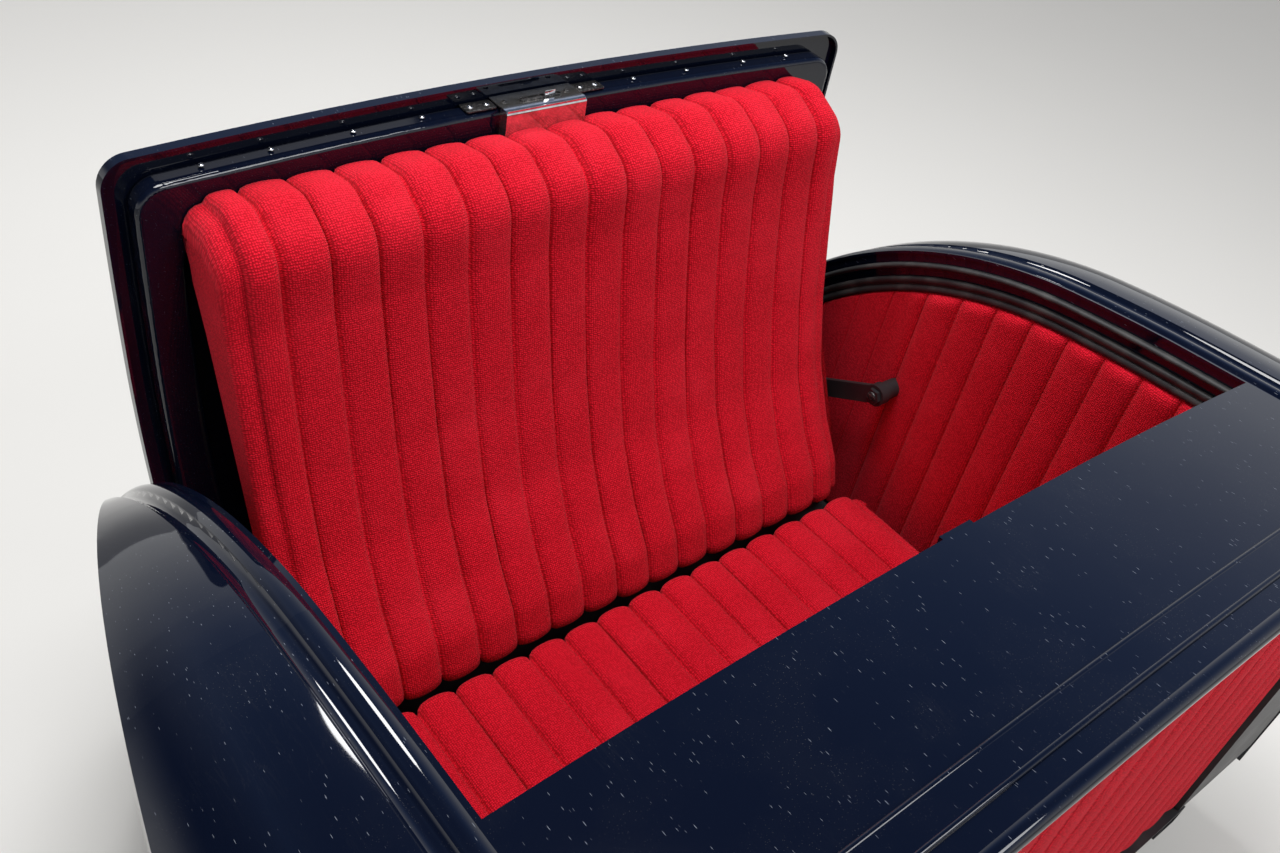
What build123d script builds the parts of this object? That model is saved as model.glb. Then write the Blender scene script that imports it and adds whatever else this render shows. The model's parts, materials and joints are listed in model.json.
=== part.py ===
from build123d import *
import math
import os

os.makedirs("parts", exist_ok=True)

# Rear body section of a two-seat roadster with its rumble seat open.
# Millimetres. +X is the car's left, +Y rearward, +Z up.
# Origin: centre of the body bolt pattern on the underside of the sills.

# Body shell
opening_z = 640              # sill underside to the opening's front corners
opening_y = -200             # rear edge of the deck panel
opening_half_w = 515
deck_length = 224
deck_slope = 4.35            # degrees below level, going rearward
deck_flat_run = 60           # straight run behind the deck's rear edge
crown_rise = 25              # deck centre above the opening's edge
panel_t = 4
seam_margin = 5              # the deck's joint with the quarter lies this far outboard of the opening
roll_w = 20                  # rolled edge of the opening
roll_rise = 3
groove_w = 20
groove_depth = 5
shoulder_radius = 200
shoulder_turn = 66.0         # degrees of the shoulder's arc, more than the body side lets show
side_w = 212                 # from the deck's joint to the side curve's widest point
side_widest_y = -544         # that point lies ahead of this section
side_taper_radius = 2875
tail_corner_y = 500
tail_corner_radius = 80
tail_bulge = 40
path_lead = 90               # the swept profile starts this far ahead of the front edge
path_below = 30              # and ends this far below the sills
air_height = 700
air_half_w = 900
far = 2000

seam_x = opening_half_w + seam_margin
roll_end = seam_x + roll_w
groove_end = roll_end + groove_w
side_half_w = seam_x + side_w

# Side profile behind the flat run: each row is an arc's radius and the angle below level at its end
PROFILE_ARCS = (
    (2400, 8.6),
    (700, 52.0),
    (240, 88.0),
)

# Deck details
deck_band_y = -377           # raised band between the two moulding lines
deck_band_w = 30
deck_band_rise = 3
deck_roll_radius = 9
deck_roll_proud = 1.5        # the cockpit edge's roll stands this far above the skin
deck_roll_setback = 4
deck_roll_end_gap = 2
deck_flange_h = 40
header_w = 60
header_h = 40
header_t = 3
header_end_gap = 2

# Opening walls
flange_x = opening_half_w + 2
flange_t = 4
flange_h = 58
strip_h = 22
strip_reach = 7.5
strip_front_gap = 10         # strip and rubber start this far behind the deck
weather_drop = 16
weather_size = 8
trim_step = 6                # the side trim stands this far inboard of the flange
trim_x = flange_x - trim_step
trim_t = 10
trim_floor_gap = 4
trim_front_setback = 14
trim_rear_y = 395
trim_hole_gap = 2

# Lid and its hinge
lid_side_gap = 11
lid_half_w = opening_half_w - lid_side_gap
lid_front_gap = 6
lid_zone_deep = 60           # the lid's cutting region, below and above the skin
lid_zone_high = 120
zone_deep = 400              # the same for pieces further below the skin
lid_rear_angle = 52.0        # slope of the shell where the lid ends
lid_rear_gap = 17
lid_corner_r = 30
lid_rim = 8                  # depth of the hem along the lid's edge
hem_t = 3
frame_inset = 24             # channel between rim and inner frame
frame_w = 44
frame_depth = 26
frame_corner_r = 60          # inner corners of the frame
frame_edge_r = 6             # its rolled edges towards the seat
frame_face_lean = 0.5        # its inner face looks down by more than this, as the walls don't
hinge_y = 223
hinge_z = 324
open_angle = 86
arm_t = 8
boss_t = 16
arm_trim_gap = 31
arm_x = trim_x - arm_trim_gap - boss_t    # arm's inner face
arm_w = 28
pivot_boss_r = 17
pivot_pin_r = 8
pivot_clearance = 0.05
spacer_r = 14
pin_head_r = 13
pin_head_t = 6
bracket_w = 56
bracket_t = 5
bracket_drop = 12            # from the flange's lower edge to the bracket's top

# Slopes of the shell where the arm's foot starts, centres and ends
ARM_FOOT_SLOPES = (32.0, 35.5, 39.5)

# Seat
cushion_side_gap = 56
cushion_half_w = trim_x - cushion_side_gap
cushion_rear_y = 186
cushion_depth = 380
cushion_top_z = 164
cushion_t = 92
cushion_edge_r = 22
riser_wall = 4
riser_inset = 12
back_side_gap = 30
back_half_w = arm_x - back_side_gap
back_bottom = (193, 162)     # front lower edge (y, z)
back_crest = (456, 718)
back_crest_depth = 22
back_bottom_depth = 100
back_bottom_rise = 4         # the rear lower edge stands this far above the front one
back_upper_face = 95         # height of the rear face's upper part
back_upper_rake = 4
board_t = 8
board_side_gap = 20
rail_x = 300
rail_t = 30

# Slopes of the shell along the rail's rear edge, and where the rail starts and ends along the board
RAIL_SLOPES = (18.0, 30.0, 44.0)
RAIL_BOARD_SHARES = (0.97, 0.12)

# Floor, sills and cross members
sill_w = 52
sill_inner_x = roll_end - sill_w
sill_h = 34
sill_wall = 3
sill_front_y = -424
sill_rear_y = 470
bolt_x = sill_inner_x + 11
bolt_y = 280
bolt_hole_r = 6.5
member_w = 60
floor_t = 4
floor_top = sill_h + floor_t
footwell_depth = 130
footwell_front_y = -400
footwell_rear_y = -205
footwell_side_gap = 18
footwell_half_w = sill_inner_x - footwell_side_gap
pillar_w = 50
pillar_t = 4
pillar_side_gap = 4
pillar_front_gap = 2
cockpit_wall_setback = 16
cockpit_wall_drop = 24
cockpit_wall_gap = 4
cockpit_wall_t = 12

# Wheel arch
arch_y = 120
arch_z = -60
arch_r = 375
house_t = 4

# Latch and handle
latch_half_w = 55
latch_near = 21
latch_far = 66
latch_depth = 46
latch_top_drop = 8
handle_setback = 55
handle_base_r = 17
handle_base_t = 5
handle_stem_r = 7
handle_h = 30
handle_bar_l = 96
handle_bar_w = 15
handle_bar_t = 10
striker_w = 44
striker_h = 22
striker_t = 3
striker_reach = 14
striker_drop = 16

rest_gap = 0.3
hinge_axis = Axis((0, hinge_y, hinge_z), (1, 0, 0))


def opened(shape):
    """Turn a shape drawn in the closed position to the open one."""
    return shape.rotate(hinge_axis, -open_angle)


def slope_direction(angle):
    """Unit (y, z) direction along the side profile where it falls by angle."""
    a = math.radians(angle)
    return math.cos(a), -math.sin(a)


def slope_normal(angle):
    """Unit (y, z) direction out of the shell where the profile falls by angle."""
    a = math.radians(angle)
    return math.sin(a), math.cos(a)


def profile_points():
    """Start of each arc of the side profile, and the end of the last: (y, z, angle)."""
    y, z, angle = opening_y, opening_z, deck_slope
    dy, dz = slope_direction(angle)
    y, z = y + deck_flat_run, z + deck_flat_run * dz / dy
    points = [(y, z, angle)]
    for radius, end in PROFILE_ARCS:
        a, b = math.radians(angle), math.radians(end)
        y += radius * (math.sin(b) - math.sin(a))
        z -= radius * (math.cos(a) - math.cos(b))
        angle = end
        points.append((y, z, angle))
    return points


def profile_at(angle, drop=0.0):
    """Point (y, z) of the side profile where its slope is angle, drop below the skin."""
    ny, nz = slope_normal(angle)
    for (radius, end), (y, z, start) in zip(PROFILE_ARCS, profile_points()):
        if angle <= end:
            a, b = math.radians(start), math.radians(angle)
            py = y + radius * (math.sin(b) - math.sin(a))
            pz = z - radius * (math.cos(a) - math.cos(b))
            return py - drop * ny, pz - drop * nz
    raise ValueError("no such slope on the profile")


def profile_z(y):
    """Height of the side profile at a distance rearward."""
    points = profile_points()
    if y <= points[0][0]:
        return opening_z - (y - opening_y) * math.tan(math.radians(deck_slope))
    for (radius, end), (py, pz, start) in zip(PROFILE_ARCS, points):
        s = math.sin(math.radians(start)) + (y - py) / radius
        if s <= math.sin(math.radians(end)):
            return pz - radius * (math.cos(math.radians(start)) - math.sqrt(1 - s * s))
    raise ValueError("beyond the tail")


front_y = opening_y - deck_length
front_z = profile_z(front_y)

with BuildLine(Plane.YZ) as side_path:
    Line((front_y - path_lead, profile_z(front_y - path_lead)), profile_points()[0][:2])
    for (radius, end), (y, z, start) in zip(PROFILE_ARCS, profile_points()):
        JernArc(start=(y, z), tangent=slope_direction(start), radius=radius, arc_size=start - end)
    tail_y, tail_z, tail_angle = profile_points()[-1]
    tail_dy, tail_dz = slope_direction(tail_angle)
    tail_run = (tail_z + path_below) / -tail_dz
    Line((tail_y, tail_z), (tail_y + tail_run * tail_dy, tail_z + tail_run * tail_dz))

path_ny, path_nz = slope_normal(deck_slope)
section_plane = Plane(
    origin=(0, front_y - path_lead, profile_z(front_y - path_lead)),
    x_dir=(-1, 0, 0),
    z_dir=(0, path_nz, -path_ny),
)


def edge_line(side, drop):
    """The section from the joint to the shoulder: roll and groove, or on the inner skin a plain channel."""
    if drop == 0:
        roll = ThreePointArc(
            (side * seam_x, 0), (side * (seam_x + roll_w / 2), roll_rise), (side * roll_end, 0)
        )
        groove = ThreePointArc(
            roll @ 1, (side * (roll_end + groove_w / 2), -groove_depth), (side * groove_end, 0)
        )
        return groove @ 1
    return Polyline(
        (side * seam_x, -drop),
        (side * (roll_end - drop), -drop),
        (side * (roll_end - drop), -drop - groove_depth),
        (side * groove_end, -drop - groove_depth),
        (side * groove_end, -drop),
    ) @ 1


def air_section(drop):
    """Everything above the crowned skin lowered by drop, as a closed cross-section."""
    with BuildSketch(section_plane) as section:
        with BuildLine():
            ThreePointArc((-seam_x, -drop), (0, crown_rise - drop), (seam_x, -drop))
            ends = []
            for side in (-1, 1):
                radius = shoulder_radius - drop
                ends.append(JernArc(edge_line(side, drop), (side, 0), radius, -side * shoulder_turn) @ 1)
            left, right = ends
            Polyline(
                left,
                (-air_half_w, left.Y),
                (-air_half_w, air_height),
                (air_half_w, air_height),
                (air_half_w, right.Y),
                right,
            )
        make_face()
    return section.sketch


def plan_outline(inset):
    """The body's outline seen from above, moved inward by inset."""
    turn = math.degrees(math.asin((tail_corner_y - side_widest_y) / side_taper_radius))
    with BuildSketch(Plane.XY) as plan:
        with BuildLine():
            half = side_half_w - inset
            taper = JernArc((half, side_widest_y), (0, 1), side_taper_radius - inset, turn)
            corner = JernArc(taper @ 1, taper % 1, tail_corner_radius - inset, 90 - turn)
            end = corner @ 1
            tail = ThreePointArc(end, (0, end.Y + tail_bulge), (-end.X, end.Y))
            mirror(taper, about=Plane.YZ)
            mirror(corner, about=Plane.YZ)
            Line((-half, side_widest_y), (half, side_widest_y))
        make_face()
        with Locations((0, front_y - far / 2)):
            Rectangle(far, far, mode=Mode.SUBTRACT)
    return plan.sketch


def envelope(inset):
    """The body as one solid, with its skin moved inward by inset."""
    with BuildPart() as air:
        sweep(sections=air_section(inset), path=side_path.wire())
    with BuildPart() as solid:
        extrude(plan_outline(inset), amount=opening_z + air_height / 2)
        add(air.part, mode=Mode.SUBTRACT)
    return solid.part


def side_prism(points, half_w):
    """A (y, z) polygon stretched across the body."""
    with BuildPart() as prism:
        with BuildSketch(Plane.YZ):
            with BuildLine():
                Polyline(*points, close=True)
            make_face()
        extrude(amount=half_w, both=True)
    return prism.part


def lid_zone(front_gap, rear_back, half_w, deep=lid_zone_deep):
    """Region of the opening that the lid fills, cut square to the skin at its rear end."""
    high = lid_zone_high
    ny, nz = slope_normal(lid_rear_angle)
    dy, dz = slope_direction(lid_rear_angle)
    ey, ez = profile_at(lid_rear_angle)
    ey, ez = ey - rear_back * dy, ez - rear_back * dz
    fy = opening_y + front_gap
    points = [
        (fy, opening_z + high),
        (fy, opening_z - deep),
        (ey - deep * ny, ez - deep * nz),
        (ey + high * ny, ez + high * nz),
        (ey + high, opening_z + high),
    ]
    return side_prism(points, half_w)


def rounded(zone, radius):
    """The lid's region with its four corners rounded, as seen square to the skin."""
    ny, nz = slope_normal(lid_rear_angle)
    corners = zone.edges().filter_by(Axis.Z) + zone.edges().filter_by(Axis((0, 0, 0), (0, ny, nz)))
    return fillet(corners, radius)


envelope_outer = envelope(0)
envelope_skin = envelope(panel_t)
skin = envelope_outer - envelope_skin

# Deck panel: crowned skin with a raised band, a rolled cockpit edge and a folded rear flange
deck_ny, deck_nz = slope_normal(deck_slope)


def deck_plane(y):
    """Plane square to the deck at y, with its x to the car's right and its y up."""
    return Plane(origin=(0, y, profile_z(y)), x_dir=(-1, 0, 0), z_dir=(0, deck_nz, -deck_ny))


# The crown is an arc about an axis far below the deck, which the cockpit edge's roll also turns round
crown_radius = (seam_x**2 + crown_rise**2) / (2 * crown_rise)


def crown_at(x):
    """Height of the skin at x above its seam line."""
    return crown_rise - crown_radius + math.sqrt(crown_radius**2 - x**2)


def crown_band(y, bottom, top, half_w):
    """Strip between two copies of the crown line at y, bottom and top above the skin."""
    edge = crown_at(half_w)
    with BuildSketch(deck_plane(y)) as band:
        with BuildLine():
            low = ThreePointArc((-half_w, bottom + edge), (0, bottom + crown_rise), (half_w, bottom + edge))
            high = ThreePointArc((-half_w, top + edge), (0, top + crown_rise), (half_w, top + edge))
            Line(low @ 0, high @ 0)
            Line(low @ 1, high @ 1)
        make_face()
    return band.sketch


deck_dy, deck_dz = slope_direction(deck_slope)
roll_y = front_y + deck_roll_setback
roll_z = profile_z(roll_y) + crown_rise
roll_turn = math.degrees(math.asin((seam_x - deck_roll_end_gap) / crown_radius))
crown_axis = Axis(
    (0, roll_y - crown_radius * deck_ny, roll_z - crown_radius * deck_nz),
    (0, deck_dy, deck_dz),
)
with BuildPart() as cockpit_roll:
    with BuildSketch(Plane.YZ):
        axis_drop = deck_roll_radius - deck_roll_proud
        with Locations((roll_y - axis_drop * deck_ny, roll_z - axis_drop * deck_nz)):
            Circle(deck_roll_radius)
    revolve(axis=crown_axis, revolution_arc=2 * roll_turn)

with BuildPart() as deck_panel:
    extrude(crown_band(roll_y, -panel_t, 0, seam_x), amount=(opening_y - roll_y) / deck_dy)
    band = crown_band(deck_band_y, -panel_t / 2, deck_band_rise, opening_half_w)
    extrude(band, amount=deck_band_w / 2, both=True)
    rear_flange = crown_band(opening_y, -deck_flange_h, -panel_t / 2, opening_half_w)
    extrude(rear_flange, amount=-panel_t)
    add(cockpit_roll.part.rotate(crown_axis, -roll_turn))
deck_panel.part.label = "deck_panel"

# Header channel under the deck's rear edge
with BuildPart() as deck_header:
    header_y = opening_y - panel_t - rest_gap
    header_top = -panel_t - rest_gap
    header_half_w = opening_half_w - header_end_gap
    extrude(crown_band(header_y, header_top - header_h, header_top, header_half_w), amount=-header_w)
    hollow_y = header_y - header_t
    hollow_w = header_w - 2 * header_t
    hollow = crown_band(hollow_y, header_top - header_h, header_top - header_t, header_half_w)
    extrude(hollow, amount=-hollow_w, mode=Mode.SUBTRACT)
deck_header.part.label = "deck_header"


def quarter():
    """Left body side: skin outboard of the opening, with its wheel arch."""
    with BuildPart() as panel:
        add(skin)
        with BuildSketch(Plane.XY):
            with Locations((opening_half_w + far / 2, 0)):
                Rectangle(far, far)
            with Locations((opening_half_w, opening_y - far / 2)):
                Rectangle(2 * (seam_x - opening_half_w), far, mode=Mode.SUBTRACT)
        extrude(amount=far, mode=Mode.INTERSECT)
        with BuildSketch(Plane.YZ):
            with Locations((arch_y, arch_z)):
                Circle(arch_r)
        extrude(amount=far, both=True, mode=Mode.SUBTRACT)
    return panel.part


quarter_panel_left = quarter()
quarter_panel_right = mirror(quarter_panel_left, about=Plane.YZ)
quarter_panel_left.label = "quarter_panel_left"
quarter_panel_right.label = "quarter_panel_right"

# Tail panel below the lid
tail_cut = lid_zone(-2 * lid_corner_r, -lid_rear_gap, opening_half_w, deep=zone_deep)
tail_cut = rounded(tail_cut, lid_corner_r)
with BuildPart() as tail_panel:
    add(skin)
    with BuildSketch(Plane.XY):
        with Locations((0, far / 2 + opening_y)):
            Rectangle(2 * opening_half_w, far)
    extrude(amount=far, mode=Mode.INTERSECT)
    add(tail_cut, mode=Mode.SUBTRACT)
tail_panel.part.label = "tail_panel"


pieces = [
    deck_panel.part,
    deck_header.part,
    quarter_panel_left,
    quarter_panel_right,
    tail_panel.part,
]


def keep(piece, name):
    """Name a finished piece and put it on the list."""
    piece.label = name
    pieces.append(piece)


def both_sides(build, name):
    """Make a piece for the left side and its mirror image for the right."""
    left = build()
    right = mirror(left, about=Plane.YZ)
    keep(left, name + "_left")
    keep(right, name + "_right")


def path_strip(inner, outer, top, bottom):
    """Bar along the opening's edge, between two distances from the centre and two below the skin."""
    with BuildSketch(section_plane) as section:
        with BuildLine():
            Polyline((inner, -top), (outer, -top), (outer, -bottom), (inner, -bottom), close=True)
        make_face()
    with BuildPart() as bar:
        sweep(sections=section.sketch, path=side_path.wire())
    return mirror(bar.part, about=Plane.YZ)


rear_cut = lid_zone(0, -lid_rear_gap, far, deep=zone_deep)


def opening_flange():
    with BuildPart() as flange:
        add(path_strip(flange_x, flange_x + flange_t, panel_t, flange_h))
        add(rear_cut, mode=Mode.INTERSECT)
    return flange.part


both_sides(opening_flange, "opening_flange")


def trim_strip():
    with BuildPart() as strip:
        add(path_strip(flange_x - strip_reach, flange_x, flange_h - strip_h, flange_h))
        add(lid_zone(strip_front_gap, lid_rear_gap, far, deep=zone_deep), mode=Mode.INTERSECT)
    return strip.part


both_sides(trim_strip, "trim_strip")


def weatherstrip():
    with BuildPart() as rubber:
        add(path_strip(flange_x - weather_size, flange_x, weather_drop, weather_drop + weather_size))
        add(lid_zone(strip_front_gap, lid_rear_gap, far, deep=zone_deep), mode=Mode.INTERSECT)
    return rubber.part


both_sides(weatherstrip, "weatherstrip")


def side_trim():
    """Pleated board from the strip down to the floor, with a hole for the pivot."""
    board_front = front_y + trim_front_setback
    with BuildPart() as board:
        with BuildSketch(Plane.YZ.offset(trim_x)):
            foot = floor_top + trim_floor_gap
            with Locations(((board_front + trim_rear_y) / 2, (foot + opening_z) / 2)):
                Rectangle(trim_rear_y - board_front, opening_z - foot)
            with Locations((hinge_y, hinge_z)):
                Circle(spacer_r + trim_hole_gap, mode=Mode.SUBTRACT)
        extrude(amount=trim_t)
        above = path_strip(trim_x - trim_t, trim_x + 2 * trim_t, -air_height, flange_h + rest_gap)
        add(above, mode=Mode.SUBTRACT)
    return board.part


both_sides(side_trim, "side_trim")

# Floor
sill_outer_x = sill_inner_x + sill_w


def sill():
    """Closed box sill with the body bolt holes."""
    with BuildPart() as rail:
        with BuildSketch(Plane.XZ.offset(-sill_front_y)):
            with Locations((sill_inner_x + sill_w / 2, sill_h / 2)):
                Rectangle(sill_w, sill_h)
                Rectangle(sill_w - 2 * sill_wall, sill_h - 2 * sill_wall, mode=Mode.SUBTRACT)
        extrude(amount=-(sill_rear_y - sill_front_y))
        with BuildSketch(Plane.XY):
            with Locations((bolt_x, bolt_y), (bolt_x, -bolt_y)):
                Circle(bolt_hole_r)
        extrude(amount=sill_h, mode=Mode.SUBTRACT)
    return rail.part


both_sides(sill, "sill")


def cross_member(y):
    """Channel between the sills, open downward."""
    with BuildPart() as member:
        with BuildSketch(Plane.YZ.offset(-sill_inner_x)):
            with Locations((y, sill_h / 2)):
                Rectangle(member_w, sill_h)
            with Locations((y, (sill_h - sill_wall) / 2)):
                Rectangle(member_w - 2 * sill_wall, sill_h - sill_wall, mode=Mode.SUBTRACT)
        extrude(amount=2 * sill_inner_x)
    return member.part


rear_member_y = sill_rear_y - member_w / 2
mid_member_y = footwell_rear_y + member_w / 2 + floor_t
keep(cross_member(mid_member_y), "cross_member_front")
keep(cross_member(rear_member_y), "cross_member_rear")

with BuildPart() as rear_floor:
    floor_front = footwell_rear_y + floor_t
    with BuildSketch(Plane.XY.offset(sill_h)):
        with Locations((0, (floor_front + sill_rear_y) / 2)):
            Rectangle(2 * sill_outer_x, sill_rear_y - floor_front)
        with Locations((bolt_x, bolt_y), (-bolt_x, bolt_y)):
            Circle(bolt_hole_r, mode=Mode.SUBTRACT)
    extrude(amount=floor_t)
keep(rear_floor.part, "rear_floor")

with BuildPart() as footwell_pan:
    well_length = footwell_rear_y - footwell_front_y
    well_y = (footwell_front_y + footwell_rear_y) / 2
    well_height = sill_h + footwell_depth
    with BuildSketch(Plane.XY.offset(-footwell_depth)):
        with Locations((0, well_y)):
            Rectangle(2 * footwell_half_w, well_length)
    extrude(amount=well_height)
    with BuildSketch(Plane.XY.offset(-footwell_depth + floor_t)):
        with Locations((0, well_y)):
            Rectangle(2 * (footwell_half_w - floor_t), well_length - 2 * floor_t)
    extrude(amount=well_height, mode=Mode.SUBTRACT)
    with BuildSketch(Plane.XY.offset(sill_h)):
        with Locations((0, (sill_front_y + footwell_rear_y + floor_t) / 2)):
            Rectangle(2 * sill_outer_x, footwell_rear_y + floor_t - sill_front_y)
        with Locations((0, well_y)):
            Rectangle(2 * (footwell_half_w - floor_t), well_length - 2 * floor_t, mode=Mode.SUBTRACT)
        with Locations((bolt_x, -bolt_y), (-bolt_x, -bolt_y)):
            Circle(bolt_hole_r, mode=Mode.SUBTRACT)
    extrude(amount=floor_t)
keep(footwell_pan.part, "footwell_pan")

# Cockpit wall
cockpit_wall_y = front_y + cockpit_wall_setback
with BuildPart() as cockpit_panel:
    with BuildSketch(Plane.XZ.offset(-cockpit_wall_y)):
        with BuildLine():
            top = front_z - cockpit_wall_drop
            wall_half = opening_half_w - cockpit_wall_gap
            crown = ThreePointArc((-wall_half, top), (0, top + crown_rise), (wall_half, top))
            Polyline(crown @ 1, (wall_half, floor_top), (-wall_half, floor_top), crown @ 0)
        make_face()
    extrude(amount=-cockpit_wall_t)
keep(cockpit_panel.part, "cockpit_panel")


def door_pillar():
    """Angle post at the front edge of the quarter panel."""
    with BuildPart() as post:
        add(envelope_skin)
        with BuildSketch(Plane.XY):
            pillar_x = seam_x + pillar_side_gap
            pillar_y = front_y + pillar_front_gap
            with Locations((pillar_x + far / 2, pillar_y + pillar_t / 2)):
                Rectangle(far, pillar_t)
            with Locations((pillar_x + pillar_t / 2, pillar_y + pillar_w / 2)):
                Rectangle(pillar_t, pillar_w)
        extrude(amount=far, mode=Mode.INTERSECT)
        with BuildSketch(Plane.XY):
            Rectangle(far, far)
        extrude(amount=floor_top, mode=Mode.SUBTRACT)
    return post.part


both_sides(door_pillar, "door_pillar")


def wheel_house():
    """Half drum between the quarter panel and the inner wall, around the wheel."""
    with BuildPart() as house:
        add(envelope_skin)
        with BuildSketch(Plane.YZ.offset(sill_outer_x)):
            with Locations((arch_y, arch_z)):
                Circle(arch_r + house_t)
        extrude(amount=far, mode=Mode.INTERSECT)
        with BuildSketch(Plane.YZ.offset(sill_outer_x + house_t)):
            with Locations((arch_y, arch_z)):
                Circle(arch_r)
        extrude(amount=far, mode=Mode.SUBTRACT)
    return house.part


both_sides(wheel_house, "wheel_house")

# Seat
with BuildPart() as seat_riser:
    riser_half = cushion_half_w - riser_inset
    riser_h = cushion_top_z - cushion_t - floor_top - rest_gap
    riser_y = cushion_rear_y - cushion_depth / 2
    riser_l = cushion_depth - 2 * riser_inset
    with BuildSketch(Plane.XY.offset(floor_top)):
        with Locations((0, riser_y)):
            Rectangle(2 * riser_half, riser_l)
            Rectangle(2 * (riser_half - riser_wall), riser_l - 2 * riser_wall, mode=Mode.SUBTRACT)
    extrude(amount=riser_h)
keep(seat_riser.part, "seat_riser")

with BuildPart() as seat_cushion:
    with BuildSketch(Plane.XY.offset(cushion_top_z - cushion_t)):
        with Locations((0, riser_y)):
            Rectangle(2 * cushion_half_w, cushion_depth)
    extrude(amount=cushion_t)
    fillet(seat_cushion.edges().group_by(Axis.Z)[-1], radius=cushion_edge_r)
keep(seat_cushion.part, "seat_cushion")

# Seat back, drawn in the open position
board_foot_y = back_bottom[0] + back_bottom_depth
board_foot_z = back_bottom[1] + back_bottom_rise
board_head_y = back_crest[0] + back_crest_depth - back_upper_rake
board_head_z = back_crest[1] - back_upper_face
with BuildPart() as seat_back:
    with BuildSketch(Plane.YZ):
        with BuildLine():
            Polyline(
                back_bottom,
                back_crest,
                (back_crest[0] + back_crest_depth, back_crest[1]),
                (board_head_y, board_head_z),
                (board_foot_y, board_foot_z),
                close=True,
            )
        make_face()
    extrude(amount=back_half_w, both=True)
keep(seat_back.part, "seat_back")

# Board along the seat back's rear face
board_length = math.hypot(board_head_y - board_foot_y, board_head_z - board_foot_z)
board_dy = (board_head_y - board_foot_y) / board_length
board_dz = (board_head_z - board_foot_z) / board_length


def board_point(along, behind):
    """Point (y, z) at a distance along the board from its foot, and behind the seat back's face."""
    return (
        board_foot_y + along * board_dy + behind * board_dz,
        board_foot_z + along * board_dz - behind * board_dy,
    )


with BuildPart() as backrest_board:
    board_rear = rest_gap + board_t
    with BuildSketch(Plane.YZ):
        with BuildLine():
            Polyline(
                board_point(0, rest_gap),
                board_point(board_length, rest_gap),
                board_point(board_length, board_rear),
                board_point(0, board_rear),
                close=True,
            )
        make_face()
    extrude(amount=back_half_w - board_side_gap, both=True)
keep(backrest_board.part, "backrest_board")

# Lid skin, with its front edge folded down
lid_shape = rounded(lid_zone(lid_front_gap, 0, lid_half_w), lid_corner_r)
hem_inside = rounded(lid_zone(lid_front_gap + hem_t, hem_t, lid_half_w - hem_t), lid_corner_r - hem_t)
with BuildPart() as lid_skin:
    add(envelope_outer)
    add(envelope(panel_t + lid_rim), mode=Mode.SUBTRACT)
    add(lid_shape, mode=Mode.INTERSECT)
    add(envelope_skin & hem_inside, mode=Mode.SUBTRACT)
keep(opened(lid_skin.part), "lid_skin")

# Inner frame: a raised ring inside the lid, a channel's width in from its edge
frame_outer = lid_zone(lid_front_gap + frame_inset, frame_inset, lid_half_w - frame_inset)
frame_outer = rounded(frame_outer, lid_corner_r)
inner_inset = frame_inset + frame_w
frame_inner = lid_zone(lid_front_gap + inner_inset, inner_inset, lid_half_w - inner_inset)
frame_inner = rounded(frame_inner, frame_corner_r)
envelope_frame = envelope(panel_t + frame_depth)
with BuildPart() as lid_inner_frame:
    add(envelope_skin)
    add(envelope_frame, mode=Mode.SUBTRACT)
    add(frame_outer, mode=Mode.INTERSECT)
    add(frame_inner, mode=Mode.SUBTRACT)
# The two edges all round its inner face, each between that face and a wall
inner_faces = [face for face in lid_inner_frame.faces() if face.normal_at().Z < -frame_face_lean]
inner_edges = [edge for face in inner_faces for edge in face.edges()]
frame_rim = [edge for edge in inner_edges if inner_edges.count(edge) == 1]
rolled_frame = fillet(frame_rim, frame_edge_r)
keep(opened(rolled_frame), "lid_inner_frame")


def hinge_arm():
    """Flat arm from the pivot to a foot on the inner frame, drawn in the closed position."""
    foot_slope = ARM_FOOT_SLOPES[1]
    face = panel_t + frame_depth - crown_at(arm_x + (boss_t + arm_t) / 2)
    foot_y, foot_z = profile_at(foot_slope, face + arm_t / 2)
    with BuildPart() as arm:
        with BuildSketch(Plane.YZ.offset(arm_x + (boss_t - arm_t) / 2)):
            with BuildLine():
                reach_y, reach_z = foot_y - hinge_y, foot_z - hinge_z
                reach = math.hypot(reach_y, reach_z)
                across_y, across_z = -reach_z / reach * arm_w / 2, reach_y / reach * arm_w / 2
                Polyline(
                    (hinge_y + across_y, hinge_z + across_z),
                    (foot_y + across_y, foot_z + across_z),
                    (foot_y - across_y, foot_z - across_z),
                    (hinge_y - across_y, hinge_z - across_z),
                    close=True,
                )
            make_face()
            with BuildLine():
                near = ThreePointArc(*(profile_at(slope, face) for slope in ARM_FOOT_SLOPES))
                deep = ThreePointArc(*(profile_at(slope, face + arm_t) for slope in ARM_FOOT_SLOPES))
                Line(near @ 0, deep @ 0)
                Line(near @ 1, deep @ 1)
            make_face()
        extrude(amount=arm_t)
        with BuildSketch(Plane.YZ.offset(arm_x)):
            with Locations((hinge_y, hinge_z)):
                Circle(pivot_boss_r)
        extrude(amount=boss_t)
        with BuildSketch(Plane.YZ.offset(arm_x)):
            with Locations((hinge_y, hinge_z)):
                Circle(pivot_pin_r + pivot_clearance)
        extrude(amount=boss_t, mode=Mode.SUBTRACT)
    return opened(arm.part)


both_sides(hinge_arm, "hinge_arm")


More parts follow.
